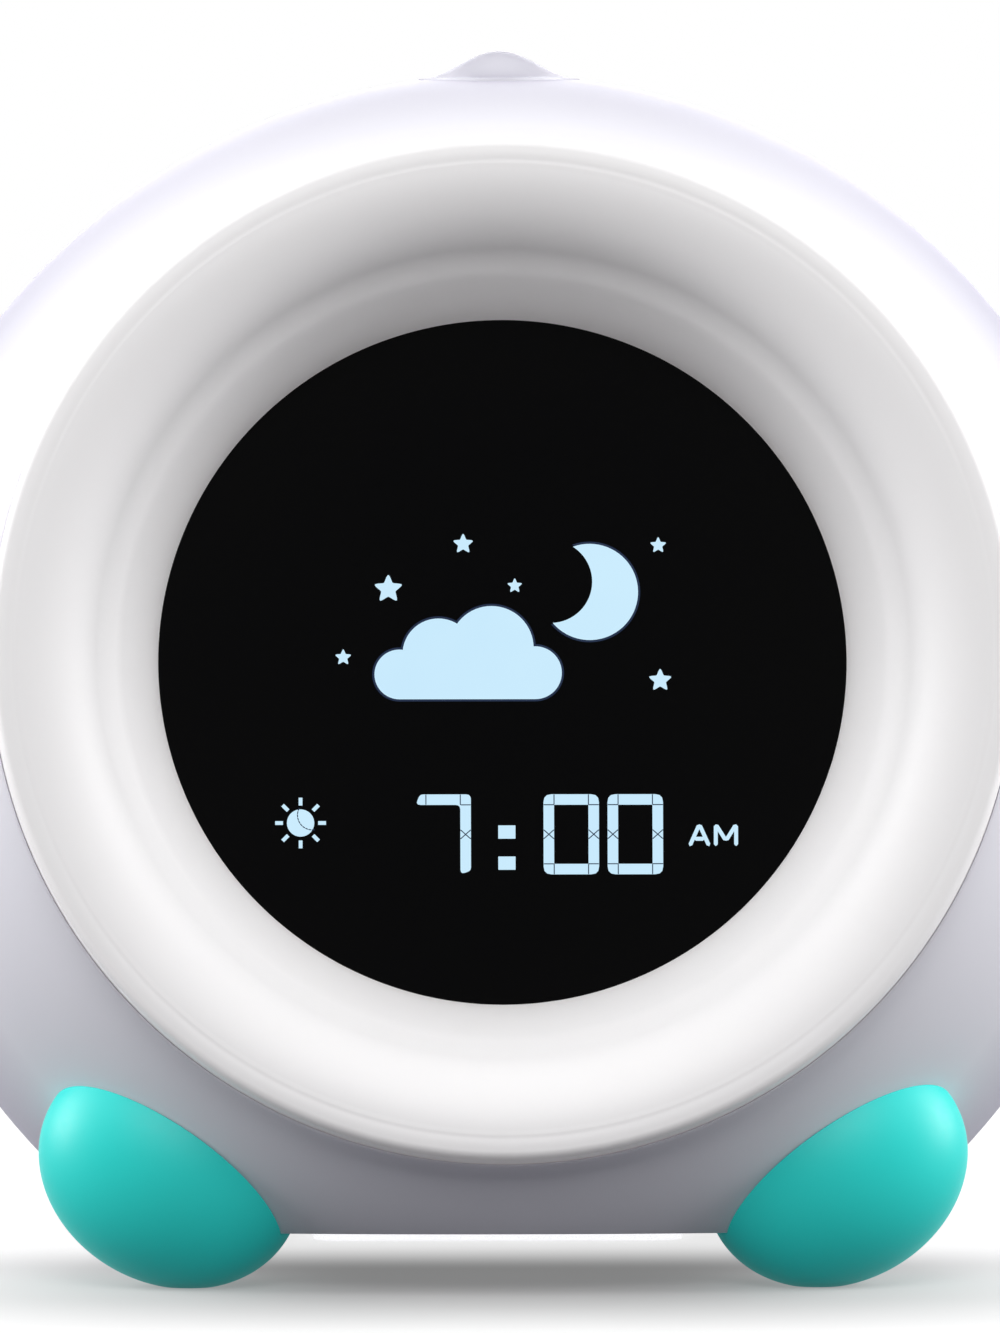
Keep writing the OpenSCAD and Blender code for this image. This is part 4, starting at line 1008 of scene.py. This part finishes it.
def pale_floor():
    """Matt floor that glows evenly where it is looked at, apart from the soft shade under the clock."""
    material = bpy.data.materials.new("pale_floor")
    material.use_nodes = True
    tree = material.node_tree
    nodes, links = tree.nodes, tree.links
    nodes.clear()
    matt, tone, glow = nodes.new("ShaderNodeBsdfDiffuse"), nodes.new("ShaderNodeMix"), nodes.new("ShaderNodeEmission")
    tone.data_type = "RGBA"
    tone.inputs["A"].default_value = FLOOR_LIT
    tone.inputs["B"].default_value = FLOOR_SEEN
    links.new(looked_at(tree), tone.inputs["Factor"])
    links.new(tone.outputs["Result"], matt.inputs["Color"])
    where, place_of = nodes.new("ShaderNodeTexCoord"), nodes.new("ShaderNodeSeparateXYZ")
    links.new(where.outputs["Object"], place_of.inputs[0])
    along, across = place_of.outputs["Y"], maths(tree, "ABSOLUTE", place_of.outputs["X"])
    shade = maths(tree, "MULTIPLY", falls(tree, along, SHADE_BEHIND, 1, 0), falls(tree, along, SHADE_BEFORE, 0, 1))
    shade = maths(tree, "MULTIPLY", shade, falls(tree, across, SHADE_ACROSS, 1, 0))
    clear = maths(tree, "SUBTRACT", 1.0, maths(tree, "MULTIPLY", shade, SHADE_DEPTH))
    level = maths(tree, "MULTIPLY", clear, FLOOR_GLOW)
    links.new(maths(tree, "MULTIPLY", level, looked_at(tree)), glow.inputs["Strength"])
    both, sink = nodes.new("ShaderNodeAddShader"), nodes.new("ShaderNodeOutputMaterial")
    for shader, socket in zip((matt, glow), both.inputs):
        links.new(shader.outputs[0], socket)
    links.new(both.outputs[0], sink.inputs["Surface"])
    return material


def stage():
    """Small floor that keeps the soft shadow, in a white room that is seen and mirrored but lights nothing matt."""
    bm = bmesh.new()
    bmesh.ops.create_grid(bm, x_segments=1, y_segments=1, size=FLOOR_HALF)
    mesh = bpy.data.meshes.new("floor")
    bm.to_mesh(mesh)
    bm.free()
    mesh.materials.append(pale_floor())
    floor = bpy.data.objects.new("floor", mesh)
    bpy.context.scene.collection.objects.link(floor)
    world = bpy.data.worlds.new("room")
    world.use_nodes = True
    backdrop = world.node_tree.nodes["Background"]
    backdrop.inputs["Color"].default_value = (1, 1, 1, 1)
    world.node_tree.links.new(looked_at(world.node_tree), backdrop.inputs["Strength"])
    bpy.context.scene.world = world


# ---- Lamps, in metres and watts ----
LAMP_AIM = (0, 0, 0.08)
SIDE_LAMPS = (  # name, place on the right, size, power
    ("high_softbox", (0.7, -0.2, 0.75), 0.7, 1.3),
    ("side_softbox", (1.0, 0.1, 0.5), 0.6, 7.0),
    ("edge_lamp", (0.9, -0.1, 0.35), 0.3, 2.6),
)
MIDDLE_LAMPS = (("front_softbox", (0, -0.75, 0.8), 0.7, 6.4), ("back_softbox", (0, 1.1, 0.3), 0.6, 4.5))


def lamp(name, spot, size, power):
    """Square soft lamp that faces the clock."""
    data = bpy.data.lights.new(name, "AREA")
    data.shape, data.size, data.energy = "SQUARE", size, power
    light = bpy.data.objects.new(name, data)
    light.location = spot
    light.rotation_euler = (Vector(LAMP_AIM) - Vector(spot)).to_track_quat("-Z", "Y").to_euler()
    bpy.context.scene.collection.objects.link(light)


stage()
for side in (-1, 1):
    for name, (x, y, z), size, power in SIDE_LAMPS:
        lamp(name, (side * x, y, z), size, power)
for name, spot, size, power in MIDDLE_LAMPS:
    lamp(name, spot, size, power)


# ---- Camera ----
PX_PER_MM = 7.75
IMAGE_H = 1333
HOUSING_ROW = 712  # the housing's centre is this many rows below the top of the image
DISTANCE = 3.2
ELEVATION = 5.5
AZIMUTH = -0.8
SENSOR_H = 36.0


def look():
    """Camera at the distance and the angles from which the scale holds at the housing's centre."""
    data = bpy.data.cameras.new("camera")
    camera = bpy.data.objects.new("camera", data)
    bpy.context.scene.collection.objects.link(camera)
    bpy.context.scene.camera = camera
    swing = Matrix.Rotation(math.radians(AZIMUTH), 3, "Z")
    sight = swing @ Vector((0, cosine(ELEVATION), -sine(ELEVATION)))
    image_up = swing @ Vector((0, sine(ELEVATION), cosine(ELEVATION)))
    rise = (HOUSING_ROW - IMAGE_H / 2) / PX_PER_MM
    target = Vector((0, BODY_Y, BODY_H)) * MM + image_up * rise * MM
    camera.location = target - sight * DISTANCE
    camera.rotation_euler = sight.to_track_quat("-Z", "Y").to_euler()
    data.sensor_fit = "VERTICAL"
    data.sensor_height = SENSOR_H
    data.lens = SENSOR_H * DISTANCE / (IMAGE_H / PX_PER_MM * MM)
    data.clip_end = 20.0


look()
bpy.context.scene.view_settings.view_transform = "Standard"
